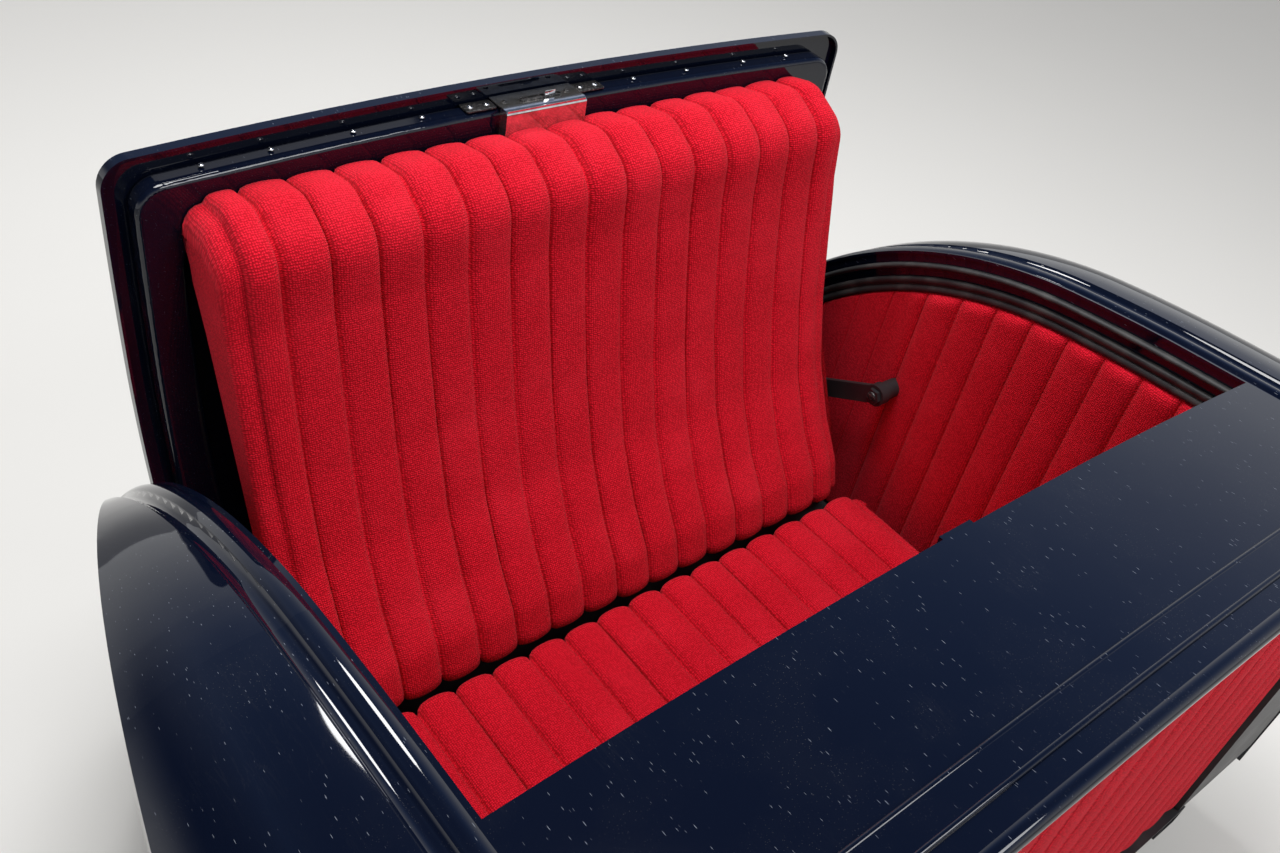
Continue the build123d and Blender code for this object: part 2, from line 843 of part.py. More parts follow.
def hinge_bracket():
    """Post on the sill that carries the pivot pin through the side trim."""
    plate_x = trim_x + trim_t + rest_gap
    arm_outer_x = arm_x + boss_t
    post_top = profile_z(hinge_y) - flange_h - bracket_drop
    with BuildPart() as bracket:
        with BuildSketch(Plane.YZ.offset(plate_x)):
            with Locations((hinge_y, (floor_top + post_top) / 2)):
                Rectangle(bracket_w, post_top - floor_top)
        extrude(amount=bracket_t)
        with BuildSketch(Plane.YZ.offset(arm_outer_x + rest_gap)):
            with Locations((hinge_y, hinge_z)):
                Circle(spacer_r)
        extrude(amount=plate_x + bracket_t - arm_outer_x - rest_gap)
        with BuildSketch(Plane.YZ.offset(arm_x - rest_gap - pin_head_t)):
            with Locations((hinge_y, hinge_z)):
                Circle(pivot_pin_r)
        extrude(amount=plate_x - arm_x + pin_head_t)
        with BuildSketch(Plane.YZ.offset(arm_x - rest_gap - pin_head_t)):
            with Locations((hinge_y, hinge_z)):
                RegularPolygon(pin_head_r, 6)
        extrude(amount=pin_head_t)
    return bracket.part


both_sides(hinge_bracket, "hinge_bracket")

# Latch on the lid's front edge, and the outside handle over it, drawn closed
lid_front_y = opening_y + lid_front_gap
lid_front_plane = Plane(
    origin=(0, lid_front_y, profile_z(lid_front_y) + crown_rise),
    x_dir=(0, deck_dy, deck_dz),
    z_dir=(1, 0, 0),
)
frame_face = panel_t + frame_depth
with BuildPart() as latch_box:
    with BuildSketch(lid_front_plane):
        with BuildLine():
            Polyline(
                (latch_near, -latch_top_drop),
                (latch_near, -latch_depth),
                (latch_far, -latch_depth),
                (latch_far, -frame_face - rest_gap),
                (frame_inset - rest_gap, -frame_face - rest_gap),
                (frame_inset - rest_gap, -latch_top_drop),
                close=True,
            )
        make_face()
    extrude(amount=latch_half_w, both=True)
keep(opened(latch_box.part), "latch_box")

with BuildPart() as lid_handle:
    handle_y = lid_front_y + handle_setback
    handle_plane = Plane(
        origin=(0, handle_y, profile_z(handle_y) + crown_rise + rest_gap),
        x_dir=(1, 0, 0),
        z_dir=(0, deck_ny, deck_nz),
    )
    with BuildSketch(handle_plane):
        Circle(handle_base_r)
    extrude(amount=handle_base_t)
    with BuildSketch(handle_plane):
        Circle(handle_stem_r)
    extrude(amount=handle_h)
    with BuildSketch(handle_plane.offset(handle_h - handle_bar_t)):
        SlotOverall(handle_bar_l, handle_bar_w)
    extrude(amount=handle_bar_t)
keep(opened(lid_handle.part), "lid_handle")

# Striker on the deck's rear flange
with BuildPart() as latch_striker:
    with BuildSketch(deck_plane(opening_y)):
        with Locations((0, crown_rise - striker_drop - striker_h / 2)):
            Rectangle(striker_w, striker_h)
            Rectangle(striker_w - 2 * striker_t, striker_h - 2 * striker_t, mode=Mode.SUBTRACT)
    extrude(amount=striker_reach)
keep(latch_striker.part, "latch_striker")


def opened_point(point):
    """A (y, z) point of the closed lid, in the open position."""
    a = math.radians(open_angle)
    dy, dz = point[0] - hinge_y, point[1] - hinge_z
    return hinge_y + dy * math.cos(a) + dz * math.sin(a), hinge_z - dy * math.sin(a) + dz * math.cos(a)


def backrest_rail():
    """Web between the backrest board and the lid's skin."""
    drop = panel_t + rest_gap - crown_at(rail_x + rail_t / 2)
    rear = [opened_point(profile_at(slope, drop)) for slope in RAIL_SLOPES]
    front = [board_point(share * board_length, board_rear) for share in RAIL_BOARD_SHARES]
    with BuildPart() as rail:
        with BuildSketch(Plane.YZ.offset(rail_x - rail_t / 2)):
            with BuildLine():
                back = ThreePointArc(*rear)
                Line(back @ 0, front[0])
                Line(front[0], front[1])
                Line(front[1], back @ 1)
            make_face()
        extrude(amount=rail_t)
    return rail.part


both_sides(backrest_rail, "backrest_rail")

for piece in pieces:
    box = piece.bounding_box()
    print(
        f"{piece.label:22s} valid {piece.is_valid} solids {len(piece.solids())} volume {piece.volume:12.0f}",
        [round(v) for v in (*tuple(box.min), *tuple(box.max))],
    )
    export_step(piece, f"parts/{piece.label}.step")
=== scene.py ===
"""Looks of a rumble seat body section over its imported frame: upholstery, paint, latch and fittings."""

import json
import math
import random

import bmesh
import bpy
from bpy.props import FloatProperty, FloatVectorProperty, IntProperty, PointerProperty
from mathutils import Matrix, Vector
from mathutils.bvhtree import BVHTree


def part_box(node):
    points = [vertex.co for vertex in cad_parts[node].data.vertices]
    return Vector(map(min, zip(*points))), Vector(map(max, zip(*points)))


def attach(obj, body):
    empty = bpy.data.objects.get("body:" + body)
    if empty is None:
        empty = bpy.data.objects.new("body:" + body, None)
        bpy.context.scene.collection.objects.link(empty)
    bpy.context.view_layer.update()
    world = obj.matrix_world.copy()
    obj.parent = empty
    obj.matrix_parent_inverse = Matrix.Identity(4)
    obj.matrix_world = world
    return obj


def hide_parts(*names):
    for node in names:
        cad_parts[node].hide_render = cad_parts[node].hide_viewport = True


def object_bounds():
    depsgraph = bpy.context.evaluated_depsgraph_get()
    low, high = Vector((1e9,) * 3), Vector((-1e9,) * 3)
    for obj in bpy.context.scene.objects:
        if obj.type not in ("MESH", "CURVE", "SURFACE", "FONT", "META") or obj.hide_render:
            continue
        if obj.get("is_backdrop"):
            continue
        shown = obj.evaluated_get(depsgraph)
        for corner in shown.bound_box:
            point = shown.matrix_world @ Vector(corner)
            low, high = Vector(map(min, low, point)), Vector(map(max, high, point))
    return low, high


bl_info = {
    "name": "Rumble seat body section",
    "version": (1, 0, 0),
    "blender": (4, 5, 0),
    "location": "3D View > Sidebar > Rumble seat",
    "description": "Pleated upholstery, gloss paint, latch and fittings of a rumble seat",
    "category": "Object",
}

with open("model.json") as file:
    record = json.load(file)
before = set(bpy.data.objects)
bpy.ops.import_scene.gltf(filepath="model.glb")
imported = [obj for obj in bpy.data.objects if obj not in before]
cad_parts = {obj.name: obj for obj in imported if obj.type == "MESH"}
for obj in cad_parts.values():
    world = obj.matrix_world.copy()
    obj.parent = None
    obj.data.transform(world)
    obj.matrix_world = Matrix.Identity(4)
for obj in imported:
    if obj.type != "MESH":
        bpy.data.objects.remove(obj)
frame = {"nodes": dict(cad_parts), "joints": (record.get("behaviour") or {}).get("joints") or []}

BODY = "body_section"
LID = "rumble_lid"
SIDES = {"left": 1, "right": -1}
HINGE = Vector(frame["joints"][0]["pos_m"])
OPEN_ANGLE = math.radians(frame["joints"][0]["range_deg"][1])


def both(name):
    """The left and right node of a pair."""
    return name + "_left", name + "_right"


# Carried-over CAD nodes and the finish each gets
NODE_FINISHES = {
    "gloss_paint": (
        "deck_panel",
        "tail_panel",
        "lid_skin",
        "lid_inner_frame",
        "latch_striker",
        *both("quarter_panel"),
        *both("opening_flange"),
    ),
    "black_rubber": (
        *both("trim_strip"),
        *both("weatherstrip"),
    ),
    "frame_enamel": (
        "deck_header",
        "footwell_pan",
        "rear_floor",
        "seat_riser",
        "cross_member_front",
        "cross_member_rear",
        *both("door_pillar"),
        *both("wheel_house"),
        *both("sill"),
        *both("hinge_bracket"),
        *both("hinge_arm"),
        *both("backrest_rail"),
    ),
    "worn_nickel": ("latch_box",),
    "plated_metal": ("lid_handle",),
    "birch_ply": ("backrest_board",),
}

# The body's lines, as the CAD draws them, in metres and degrees
DECK_SLOPE = math.radians(4.35)
DECK_REARWARD = Vector((0, math.cos(DECK_SLOPE), -math.sin(DECK_SLOPE)))
DECK_OUTWARD = Vector((0, math.sin(DECK_SLOPE), math.cos(DECK_SLOPE)))
DECK_REAR_Y = -0.200
EDGE_FRONT_Z = 0.640
EDGE_FLAT_RUN = 0.060
LID_FRONT = Vector((0, -0.194, 0.66454))
CROWN_RISE = 0.025
CROWN_HALF_WIDTH = 0.520
FLANGE_X = 0.517

# Side line behind its flat run: each row is an arc's radius and its slope at the end
EDGE_ARCS = (
    (2.400, 8.6),
    (0.700, 50.6),
)

# Two raised lines across the deck, in front of and behind its band
DECK_BEADS_Y = (-0.392, -0.362)

# Double-ridged strip along the opening, as its upper ridge and the drop of the line between both. Each row is
# a distance in from the flange and a distance below the skin.
STRIP_MIDDLE = 0.0470
STRIP_RIDGE = (
    (0.0000, 0.0363),
    (0.0045, 0.0363),
    (0.0066, 0.0372),
    (0.0075, 0.0398),
    (0.0072, 0.0428),
    (0.0054, 0.0454),
    (0.0036, 0.0463),
)
STRIP_PROFILE = (
    *STRIP_RIDGE,
    *((inward, 2 * STRIP_MIDDLE - drop) for inward, drop in reversed(STRIP_RIDGE)),
)

# Rubber seal above it, a bulb on a foot
SEAL_PROFILE = (
    (0.0000, 0.0163),
    (0.0030, 0.0163),
    (0.0052, 0.0170),
    (0.0071, 0.0184),
    (0.0078, 0.0203),
    (0.0071, 0.0222),
    (0.0052, 0.0236),
    (0.0030, 0.0240),
    (0.0000, 0.0240),
)

# Screws of the latch's front plate: x and head radius
LATCH_FACE_SCREWS = (
    (-0.047, 0.0030),
    (0.022, 0.0030),
    (0.046, 0.0046),
)
LATCH_TOP_SCREWS = (
    (-0.046, 0.0034),
    (0.042, 0.0034),
)

# Short scratches in the paint, each layer with its own direction and density
SCRATCH_LAYERS = (
    ((0.0, 0.0, 0.60), 430.0),
    ((0.0, 0.0, 1.35), 380.0),
    ((0.0, 0.0, 2.20), 340.0),
    ((0.2, 0.3, -0.80), 300.0),
)

# Where the side boards' pleats flatten towards the rear, so that the opened lid's sides pass them
LID_PASS_Y = (0.215, 0.260)

# Edge of the opening from its front end, and the distance between two sections of its strips
STRIP_START_Y = -0.190
STRIP_STEP = 0.012

# Fullness of a pleat's section on pads and on boards: power along it and root of its height
PAD_SECTION = (2.3, 0.55)
BOARD_SECTION = (2.2, 0.60)

# Pads: share of the pleat height sunk at the seams, the height under which a seam gets shallower, how fast
# the pinch fades round an end, and how far down an upper corner's rounding reaches
PAD_SINK = 0.35
FULL_PLEAT = 0.004
END_FADE = 9
CORNER_FADE = 0.14
PLEAT_COLUMNS = 12
OUTLINE_STEP = 0.008

# Unevenness along a pleat: size, and turns in radians for each metre
RIPPLE = (0.05, 21)
WANDER = (0.0012, 9)

# The side boards' seams lie this far behind the cushion's pitch
SIDE_SEAM_SHIFT = 0.012

# Boards: rows up their height, depth of their rounded rim, how far they start behind the CAD node's face, and
# how far they end inside its foot, its top and its ends
BOARD_ROWS = 44
BOARD_RIM = 0.016
BOARD_RISE = 0.004
BOARD_MARGIN = 0.001
BOARD_END_GAP = 0.0005

# The upright face of the lid's inner frame, which the seat back's crest keeps clear of
FRAME_FACE_Y = 0.4765
FRAME_FOOT_Z = 0.686

# Latch, in the opened lid's rearward distance and drop: line of its top plate, its face, and the bend
LATCH_TOP_LINE = 0.0203
LATCH_FACE_LINE = 0.0470
LATCH_BEND = 0.0060
LATCH_SHEET = 0.0012

# Small screws along the lid's frame, distance from the middle
FRAME_SCREWS_X = (0.150, 0.235, 0.330, 0.405)


def length(value, name, text):
    """A property in metres."""
    return FloatProperty(name=name, description=text, default=value, unit="LENGTH", precision=4)


def angle(degrees, name, text):
    """An angle, given in degrees."""
    return FloatProperty(name=name, description=text, default=math.radians(degrees), subtype="ANGLE")


def colour(value, name, text):
    """A colour property."""
    return FloatVectorProperty(name=name, description=text, default=value, subtype="COLOR", min=0, max=1)


class CLOTH_PG_settings(bpy.types.PropertyGroup):
    pleat_pitch: length(0.054, "Pleat pitch", "Distance between two sewn seams")
    seam_depth: length(0.0032, "Seam depth", "How far a sewn seam is pulled in below its pleats")
    seam_width: length(0.0026, "Seam width", "Half width of the pulled-in seam")
    side_pleat_puff: length(0.008, "Side pleat height", "Height of the pleats on the side boards")
    weave_size: length(0.0026, "Weave size", "Distance between two threads of the cloth")
    red: colour((0.76, 0.008, 0.028), "Cloth red", "Main colour of the cloth")
    # Painted shade: the cloth's red as it looks in shade, put in the hollows between the threads
    dark_red: colour((0.36, 0.002, 0.009), "Deep red", "Colour between the threads")
    # Painted highlight: the cloth's red as it looks in full light, put on the tops of the raised threads; it
    # also lightens random worn patches
    light_red: colour((0.88, 0.045, 0.080), "Light red", "Colour of the raised and worn threads")


class PAINT_PG_settings(bpy.types.PropertyGroup):
    navy: colour((0.0019, 0.0034, 0.0105), "Paint colour", "Near-black blue of the body paint")
    dust: colour((0.22, 0.22, 0.21), "Dust colour", "Colour of the fine dust on the paint")
    bead_radius: length(0.0030, "Bead radius", "Radius of the two raised lines across the deck")
    bead_sink: length(-0.0008, "Bead sink", "How far the middle of each line lies below the skin")


class FITTING_PG_settings(bpy.types.PropertyGroup):
    bolt_radius: length(0.0085, "Pivot cap radius", "Radius of the domed caps on the pivot pins")
    latch_width: length(0.113, "Latch width", "Width of the latch's bright cover")
    segments: IntProperty(name="Round segments", description="Sides of round fittings", default=24, min=12)


class STAGE_PG_settings(bpy.types.PropertyGroup):
    lens: FloatProperty(name="Lens", description="Focal length on a 36 mm wide sensor", default=33.48)
    azimuth: angle(-45.79, "Azimuth", "Camera heading")
    elevation: angle(39.92, "Elevation", "Camera height angle")
    roll: angle(12.035, "Roll", "Camera roll")
    place: FloatVectorProperty(name="Camera place", description="Camera position", unit="LENGTH",
                               default=(-0.79124, -0.53709, 1.36766))
    floor: colour((0.72, 0.71, 0.69), "Floor colour", "Pale floor under the part")
    ceiling: colour((0.13, 0.21, 0.42), "Ceiling colour", "What gloss paint mirrors from above")
    zenith: colour((0.020, 0.030, 0.060), "Zenith colour", "What gloss paint mirrors from straight above")
    ambient: FloatProperty(name="Ambient light", description="Strength of the even light from all round",
                           default=0.52, min=0)


# Shader building

class Value:
    """A number socket that works in Python expressions."""

    def __init__(self, nodes, socket):
        self.nodes = nodes
        self.socket = socket

    def _math(self, operation, first, second=None):
        values = [first] if second is None else [first, second]
        return self.nodes.add("ShaderNodeMath", {"operation": operation}, dict(enumerate(values)))["Value"]

    def __add__(self, other):
        return self._math("ADD", self, other)

    def __radd__(self, other):
        return self._math("ADD", other, self)

    def __sub__(self, other):
        return self._math("SUBTRACT", self, other)

    def __rsub__(self, other):
        return self._math("SUBTRACT", other, self)

    def __mul__(self, other):
        return self._math("MULTIPLY", self, other)

    def __rmul__(self, other):
        return self._math("MULTIPLY", other, self)

    def __abs__(self):
        return self._math("ABSOLUTE", self)


class Outputs:
    """A node's outputs by name, each wrapped for expressions."""

    def __init__(self, nodes, node):
        self.nodes = nodes
        self.node = node

    def __getitem__(self, name):
        found = [s for s in self.node.outputs if s.name == name and s.enabled]
        return Value(self.nodes, found[0])


class Nodes:
    """Adds nodes to one material or world."""

    def __init__(self, owner):
        owner.use_nodes = True
        self.tree = owner.node_tree
        self.tree.nodes.clear()

    def add(self, kind, settings=None, inputs=None):
        """A node of a type, with its settings made first and then its sockets' values or links."""
        node = self.tree.nodes.new(kind)
        for name, value in (settings or {}).items():
            if name == "stops":
                ramp = node.color_ramp
                while len(ramp.elements) < len(value):
                    ramp.elements.new(0.5)
                for element, (place, shade) in zip(ramp.elements, value):
                    element.position = place
                    element.color = shade if len(shade) == 4 else (*shade, 1)
            else:
                setattr(node, name, value)
        for name, value in (inputs or {}).items():
            if isinstance(name, int):
                socket = node.inputs[name]
            else:
                socket = [s for s in node.inputs if s.name == name and s.enabled][0]
            if isinstance(value, Value):
                self.tree.links.new(value.socket, socket)
            elif socket.type == "RGBA" and len(value) == 3:
                socket.default_value = (*value, 1)
            else:
                socket.default_value = value
        return Outputs(self, node)

    def coordinates(self, output="Object", scale=(1, 1, 1), turn=(0, 0, 0)):
        """Object or UV coordinates in metres, scaled and turned."""
        source = self.add("ShaderNodeTexCoord")[output]
        settings = {"Vector": source, "Scale": scale, "Rotation": turn}
        return self.add("ShaderNodeMapping", {}, settings)["Vector"]

    def noise(self, vector, scale, detail=3.0, rough=0.5, distortion=0.0):
        """Soft random clouds."""
        inputs = {"Vector": vector, "Scale": scale, "Detail": detail, "Roughness": rough}
        inputs["Distortion"] = distortion
        return self.add("ShaderNodeTexNoise", {}, inputs)["Fac"]

    def cells(self, vector, scale, randomness=1.0):
        """Distance to the nearest of many scattered points."""
        inputs = {"Vector": vector, "Scale": scale, "Randomness": randomness}
        return self.add("ShaderNodeTexVoronoi", {}, inputs)["Distance"]

    def ramp(self, value, low, high):
        """Smooth step from 0 at low to 1 at high."""
        settings = {"interpolation_type": "SMOOTHSTEP"}
        inputs = {"Value": value, "From Min": low, "From Max": high}
        return self.add("ShaderNodeMapRange", settings, inputs)["Result"]

    def mix(self, share, first, second):
        """A colour between two others."""
        settings = {"data_type": "RGBA"}
        return self.add("ShaderNodeMix", settings, {"Factor": share, "A": first, "B": second})["Result"]

    def either(self, first, *others):
        """The largest of some numbers."""
        for other in others:
            first = self.add("ShaderNodeMath", {"operation": "MAXIMUM"}, {0: first, 1: other})["Value"]
        return first

    def bump(self, height, distance, strength=0.5):
        """A normal bent by a height."""
        inputs = {"Height": height, "Distance": distance, "Strength": strength}
        return self.add("ShaderNodeBump", {}, inputs)["Normal"]

    def surface(self, **inputs):
        """The closing Principled BSDF, with its inputs named with underscores."""
        named = {name.replace("_", " "): value for name, value in inputs.items()}
        shader = self.add("ShaderNodeBsdfPrincipled", {}, named)["BSDF"]
        self.add("ShaderNodeOutputMaterial", {}, {"Surface": shader})


def woven_cloth(nodes):
    """Coarse red cloth: round threads in rows, with painted shade between them and a painted highlight on
    their tops, slightly uneven in colour.
    """
    cloth = bpy.context.scene.cloth_settings
    uv = nodes.coordinates("UV")
    drift = nodes.noise(uv, 60.0, 2.0)
    thread = nodes.cells(uv, 1 / cloth.weave_size, 0.38)
    fibre = nodes.noise(uv, 2600.0, 2.0)
    blotch = nodes.noise(uv, 9.0, 3.0)
    lump = nodes.ramp(thread, 0.62, 0.05)
    height = lump * 0.8 + fibre * 0.25 + drift * 0.3
    # Painted shade: the hollows between the threads take the deep red and their tops the main red; fibre and
    # blotch noise add random tone
    share = nodes.ramp(lump + fibre * 0.25 + blotch * 0.2, 0.10, 0.95)
    base = nodes.mix(share, cloth.dark_red, cloth.red)
    # Painted highlight of light red on the threads' tops, and real lighter worn patches from the blotch noise
    worn_and_highlighted = nodes.ramp(blotch, 0.45, 0.75) * 0.12 + nodes.ramp(fibre, 0.50, 0.80) * lump * 0.25
    base = nodes.mix(worn_and_highlighted, base, cloth.light_red)
    nodes.surface(
        Base_Color=base,
        Roughness=0.86 + 0.1 * fibre,
        Specular_IOR_Level=0.12,
        Sheen_Weight=0.10,
        Sheen_Roughness=0.5,
        Sheen_Tint=(1.0, 0.35, 0.38, 1.0),
        Normal=nodes.bump(height, 0.0011, 0.9),
    )


def gloss_paint(nodes):
    """Deep navy gloss with polishing marks, fine dust and a slight orange peel."""
    paint = bpy.context.scene.paint_settings
    place = nodes.coordinates()
    peel = nodes.noise(place, 260.0, 2.0)
    waviness = nodes.noise(place, 5.0, 1.0)
    marks = []
    for turn, density in SCRATCH_LAYERS:
        stretched = nodes.coordinates(scale=(1, 0.10, 1), turn=turn)
        cell = nodes.add("ShaderNodeTexVoronoi", {}, {"Vector": stretched, "Scale": density})
        chosen = nodes.ramp(cell["Color"], 0.69, 0.75)
        marks.append(nodes.ramp(cell["Distance"], 0.11, 0.05) * chosen)
    hair = nodes.either(*marks)
    faint = nodes.noise(nodes.coordinates(scale=(1, 0.12, 1), turn=(0.2, 0.1, 0.7)), 95.0, 4.0, 0.6, 0.6)
    patch = nodes.ramp(nodes.noise(place, 7.0, 2.0), 0.46, 0.66)
    haze = nodes.ramp(abs(faint - 0.5), 0.02, 0.0) * patch
    dust_spots = nodes.ramp(nodes.cells(place, 420.0), 0.16, 0.05)
    dust_area = nodes.ramp(nodes.noise(place, 14.0, 3.0), 0.42, 0.75)
    dust = dust_spots * dust_area
    base = nodes.mix(dust * 0.25 + dust_area * 0.005 + haze * 0.010, paint.navy, paint.dust)
    base = nodes.mix(hair * 0.30, base, (0.42, 0.46, 0.55))
    nodes.surface(
        Base_Color=base,
        Roughness=0.50 + 0.25 * dust + 0.12 * hair,
        Specular_IOR_Level=0.0,
        Coat_Weight=1.0 - 0.5 * dust,
        Coat_Roughness=0.04,
        Coat_IOR=1.5,
        Normal=nodes.bump(peel * 0.4 + waviness * 6.0, 0.00012),
    )


def frame_enamel(nodes):
    """Satin black enamel on frame steel, dusty and a little scuffed."""
    place = nodes.coordinates()
    cloud = nodes.noise(place, 18.0, 4.0)
    grain = nodes.noise(place, 700.0, 2.0)
    scuff = nodes.ramp(nodes.noise(nodes.coordinates(scale=(1, 4, 1)), 60.0, 5.0, 0.7), 0.66, 0.72)
    base = nodes.mix(nodes.ramp(cloud, 0.4, 0.8) * 0.5, (0.012, 0.012, 0.014), (0.045, 0.043, 0.040))
    base = nodes.mix(scuff * 0.5, base, (0.11, 0.10, 0.095))
    nodes.surface(
        Base_Color=base,
        Roughness=0.38 + 0.25 * cloud + 0.1 * scuff,
        Normal=nodes.bump(grain + cloud * 2.0, 0.0002),
    )


def black_rubber(nodes):
    """Extruded black rubber, matt, with a trace of dust."""
    place = nodes.coordinates()
    grain = nodes.noise(place, 900.0, 3.0)
    cloud = nodes.noise(place, 26.0, 3.0)
    base = nodes.mix(nodes.ramp(cloud, 0.45, 0.8), (0.014, 0.014, 0.015), (0.050, 0.049, 0.047))
    nodes.surface(
        Base_Color=base,
        Roughness=0.46 + 0.22 * cloud,
        Normal=nodes.bump(grain, 0.0002),
    )


def plated_metal(nodes):
    """Bright plating with smudges and fine rub marks."""
    place = nodes.coordinates()
    smudge = nodes.noise(place, 38.0, 4.0)
    rub = nodes.noise(nodes.coordinates(scale=(0.15, 1, 1)), 900.0, 3.0)
    base = nodes.mix(nodes.ramp(smudge, 0.5, 0.8) * 0.4, (0.80, 0.80, 0.81), (0.60, 0.60, 0.60))
    nodes.surface(
        Base_Color=base,
        Metallic=1.0,
        Roughness=0.07 + 0.14 * nodes.ramp(smudge, 0.45, 0.85) + 0.05 * rub,
        Normal=nodes.bump(rub, 0.00004, 0.4),
    )


def birch_ply(nodes):
    """Plywood with long grain and darker pores."""
    grain = nodes.noise(nodes.coordinates(scale=(0.6, 9, 9)), 24.0, 5.0, 0.6, 0.4)
    pore = nodes.noise(nodes.coordinates(scale=(2, 60, 60)), 40.0, 3.0)
    base = nodes.mix(nodes.ramp(grain, 0.3, 0.7), (0.50, 0.33, 0.18), (0.36, 0.22, 0.11))
    base = nodes.mix(nodes.ramp(pore, 0.6, 0.7) * 0.4, base, (0.16, 0.09, 0.04))
    nodes.surface(
        Base_Color=base,
        Roughness=0.60 + 0.15 * pore,
        Normal=nodes.bump(grain + pore, 0.0003),
    )


def dark_steel(nodes):
    """Blackened steel of screws and small plates, rubbed bright in places."""
    place = nodes.coordinates()
    cloud = nodes.noise(place, 160.0, 3.0)
    rub = nodes.ramp(nodes.noise(place, 520.0, 3.0), 0.52, 0.66)
    base = nodes.mix(rub * 0.7, (0.022, 0.021, 0.022), (0.30, 0.28, 0.27))
    nodes.surface(
        Base_Color=base,
        Metallic=0.6 + 0.3 * rub,
        Roughness=0.30 + 0.25 * cloud,
        Normal=nodes.bump(cloud, 0.0001),
    )


def worn_nickel(nodes):
    """Satin nickel of the latch cover, stained, with brushed marks across it."""
    place = nodes.coordinates()
    stain = nodes.noise(place, 90.0, 4.0, 0.6)
    brushed = nodes.noise(nodes.coordinates(scale=(0.08, 1, 1)), 1500.0, 2.0)
    spot = nodes.ramp(nodes.cells(place, 330.0), 0.20, 0.08) * nodes.ramp(stain, 0.45, 0.6)
    base = nodes.mix(nodes.ramp(stain, 0.35, 0.75), (0.74, 0.73, 0.71), (0.50, 0.48, 0.46))
    base = nodes.mix(spot * 0.7, base, (0.16, 0.14, 0.13))
    nodes.surface(
        Base_Color=base,
        Metallic=0.96 - 0.3 * spot,
        Roughness=0.045 + 0.07 * stain + 0.02 * brushed,
        Normal=nodes.bump(brushed, 0.00004, 0.4),
    )


FINISHES = {
    make.__name__: make
    for make in (
        woven_cloth,
        gloss_paint,
        frame_enamel,
        black_rubber,
        plated_metal,
        birch_ply,
        dark_steel,
        worn_nickel,
    )
}


def finish(name):
    """The named finish's material, made on its first use."""
    made = bpy.data.materials.get("finish_" + name)
    if made is None:
        made = bpy.data.materials.new("finish_" + name)
        FINISHES[name](Nodes(made))
    return made


# Mesh building

def shape(bm, name):
    """A finished bmesh as a mesh."""
    mesh = bpy.data.meshes.new(name)
    bm.to_mesh(mesh)
    bm.free()
    return mesh


def new_piece(name, bm, material_name, body):
    """A finished bmesh as an object on its body, with its finish."""
    mesh = shape(bm, name)
    for face in mesh.polygons:
        face.use_smooth = True
    piece = bpy.data.objects.new(name, mesh)
    bpy.context.scene.collection.objects.link(piece)
    mesh.materials.append(finish(material_name))
    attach(piece, body)
    return piece


def verts_of(geometry):
    """The vertices among an operator's new geometry."""
    return [v for v in geometry if isinstance(v, bmesh.types.BMVert)]


def sharpen(piece, angle=math.radians(35)):
    """Keep edges over an angle crisp while the rest stays smooth."""
    mesh = piece.data
    bm = bmesh.new()
    bm.from_mesh(mesh)
    for edge in bm.edges:
        edge.smooth = not (len(edge.link_faces) == 2 and edge.calc_face_angle(0) > angle)
    bm.to_mesh(mesh)
    bm.free()


def rounded_outline(corners, step):
    """Points along a closed (y, z) polygon with rounded corners, each with its pleat height."""
    samples = []
    count = len(corners)
    for index, (y, z, radius, puff) in enumerate(corners):
        here = Vector((y, z))
        before = Vector(corners[index - 1][:2])
        after = Vector(corners[(index + 1) % count][:2])
        into = (here - before).normalized()
        out = (after - here).normalized()
        turn = into.angle_signed(out)
        if radius <= 0 or abs(turn) < 0.01:
            samples.append((here, puff))
            continue
        reach = radius * math.tan(abs(turn) / 2)
        start = here - into * reach
        side = -1 if turn > 0 else 1
        centre = start + Vector((-into.y, into.x)) * radius * side
        steps = max(3, math.ceil(abs(turn) * radius / step))
        spoke = start - centre
        for part in range(steps + 1):
            angle = side * abs(turn) * part / steps
            turned = Vector((
                spoke.x * math.cos(angle) - spoke.y * math.sin(angle),
                spoke.x * math.sin(angle) + spoke.y * math.cos(angle),
            ))
            samples.append((centre + turned, puff))
    filled = []
    for index, (point, puff) in enumerate(samples):
        following, next_puff = samples[(index + 1) % len(samples)]
        gap = (following - point).length
        pieces = max(1, round(gap / step))
        for part in range(pieces):
            share = part / pieces
            filled.append((point.lerp(following, share), puff + (next_puff - puff) * share))
    return filled


def outline_normals(points):
    """Outward (y, z) normals of a closed outline."""
    count = len(points)
    area = sum(
        points[i][0].x * points[(i + 1) % count][0].y - points[(i + 1) % count][0].x * points[i][0].y
        for i in range(count)
    )
    normals = []
    for index in range(count):
        along = points[(index + 1) % count][0] - points[index - 1][0]
        normal = Vector((along.y, -along.x)).normalized()
        normals.append(normal if area > 0 else -normal)
    return normals


def pleat_shape(place, seams, section):
    """Height from 0 at a seam to 1 along the middle of a pleat, and the distance to the nearest seam."""
    power, root = section
    distance = min(abs(place - seam) for seam in seams)
    for low, high in zip(seams, seams[1:]):
        if low <= place <= high:
            t = abs(2 * (place - low) / (high - low) - 1)
            return (1 - t**power) ** root if t < 1 else 0.0, distance
    return 0.0, distance


def clamped(value):
    """A number kept between 0 and 1."""
    return max(0.0, min(1.0, value))


def crowded(share):
    """A share between 0 and 1, moved towards the nearer of both."""
    return 0.5 - 0.5 * math.cos(math.pi * share)


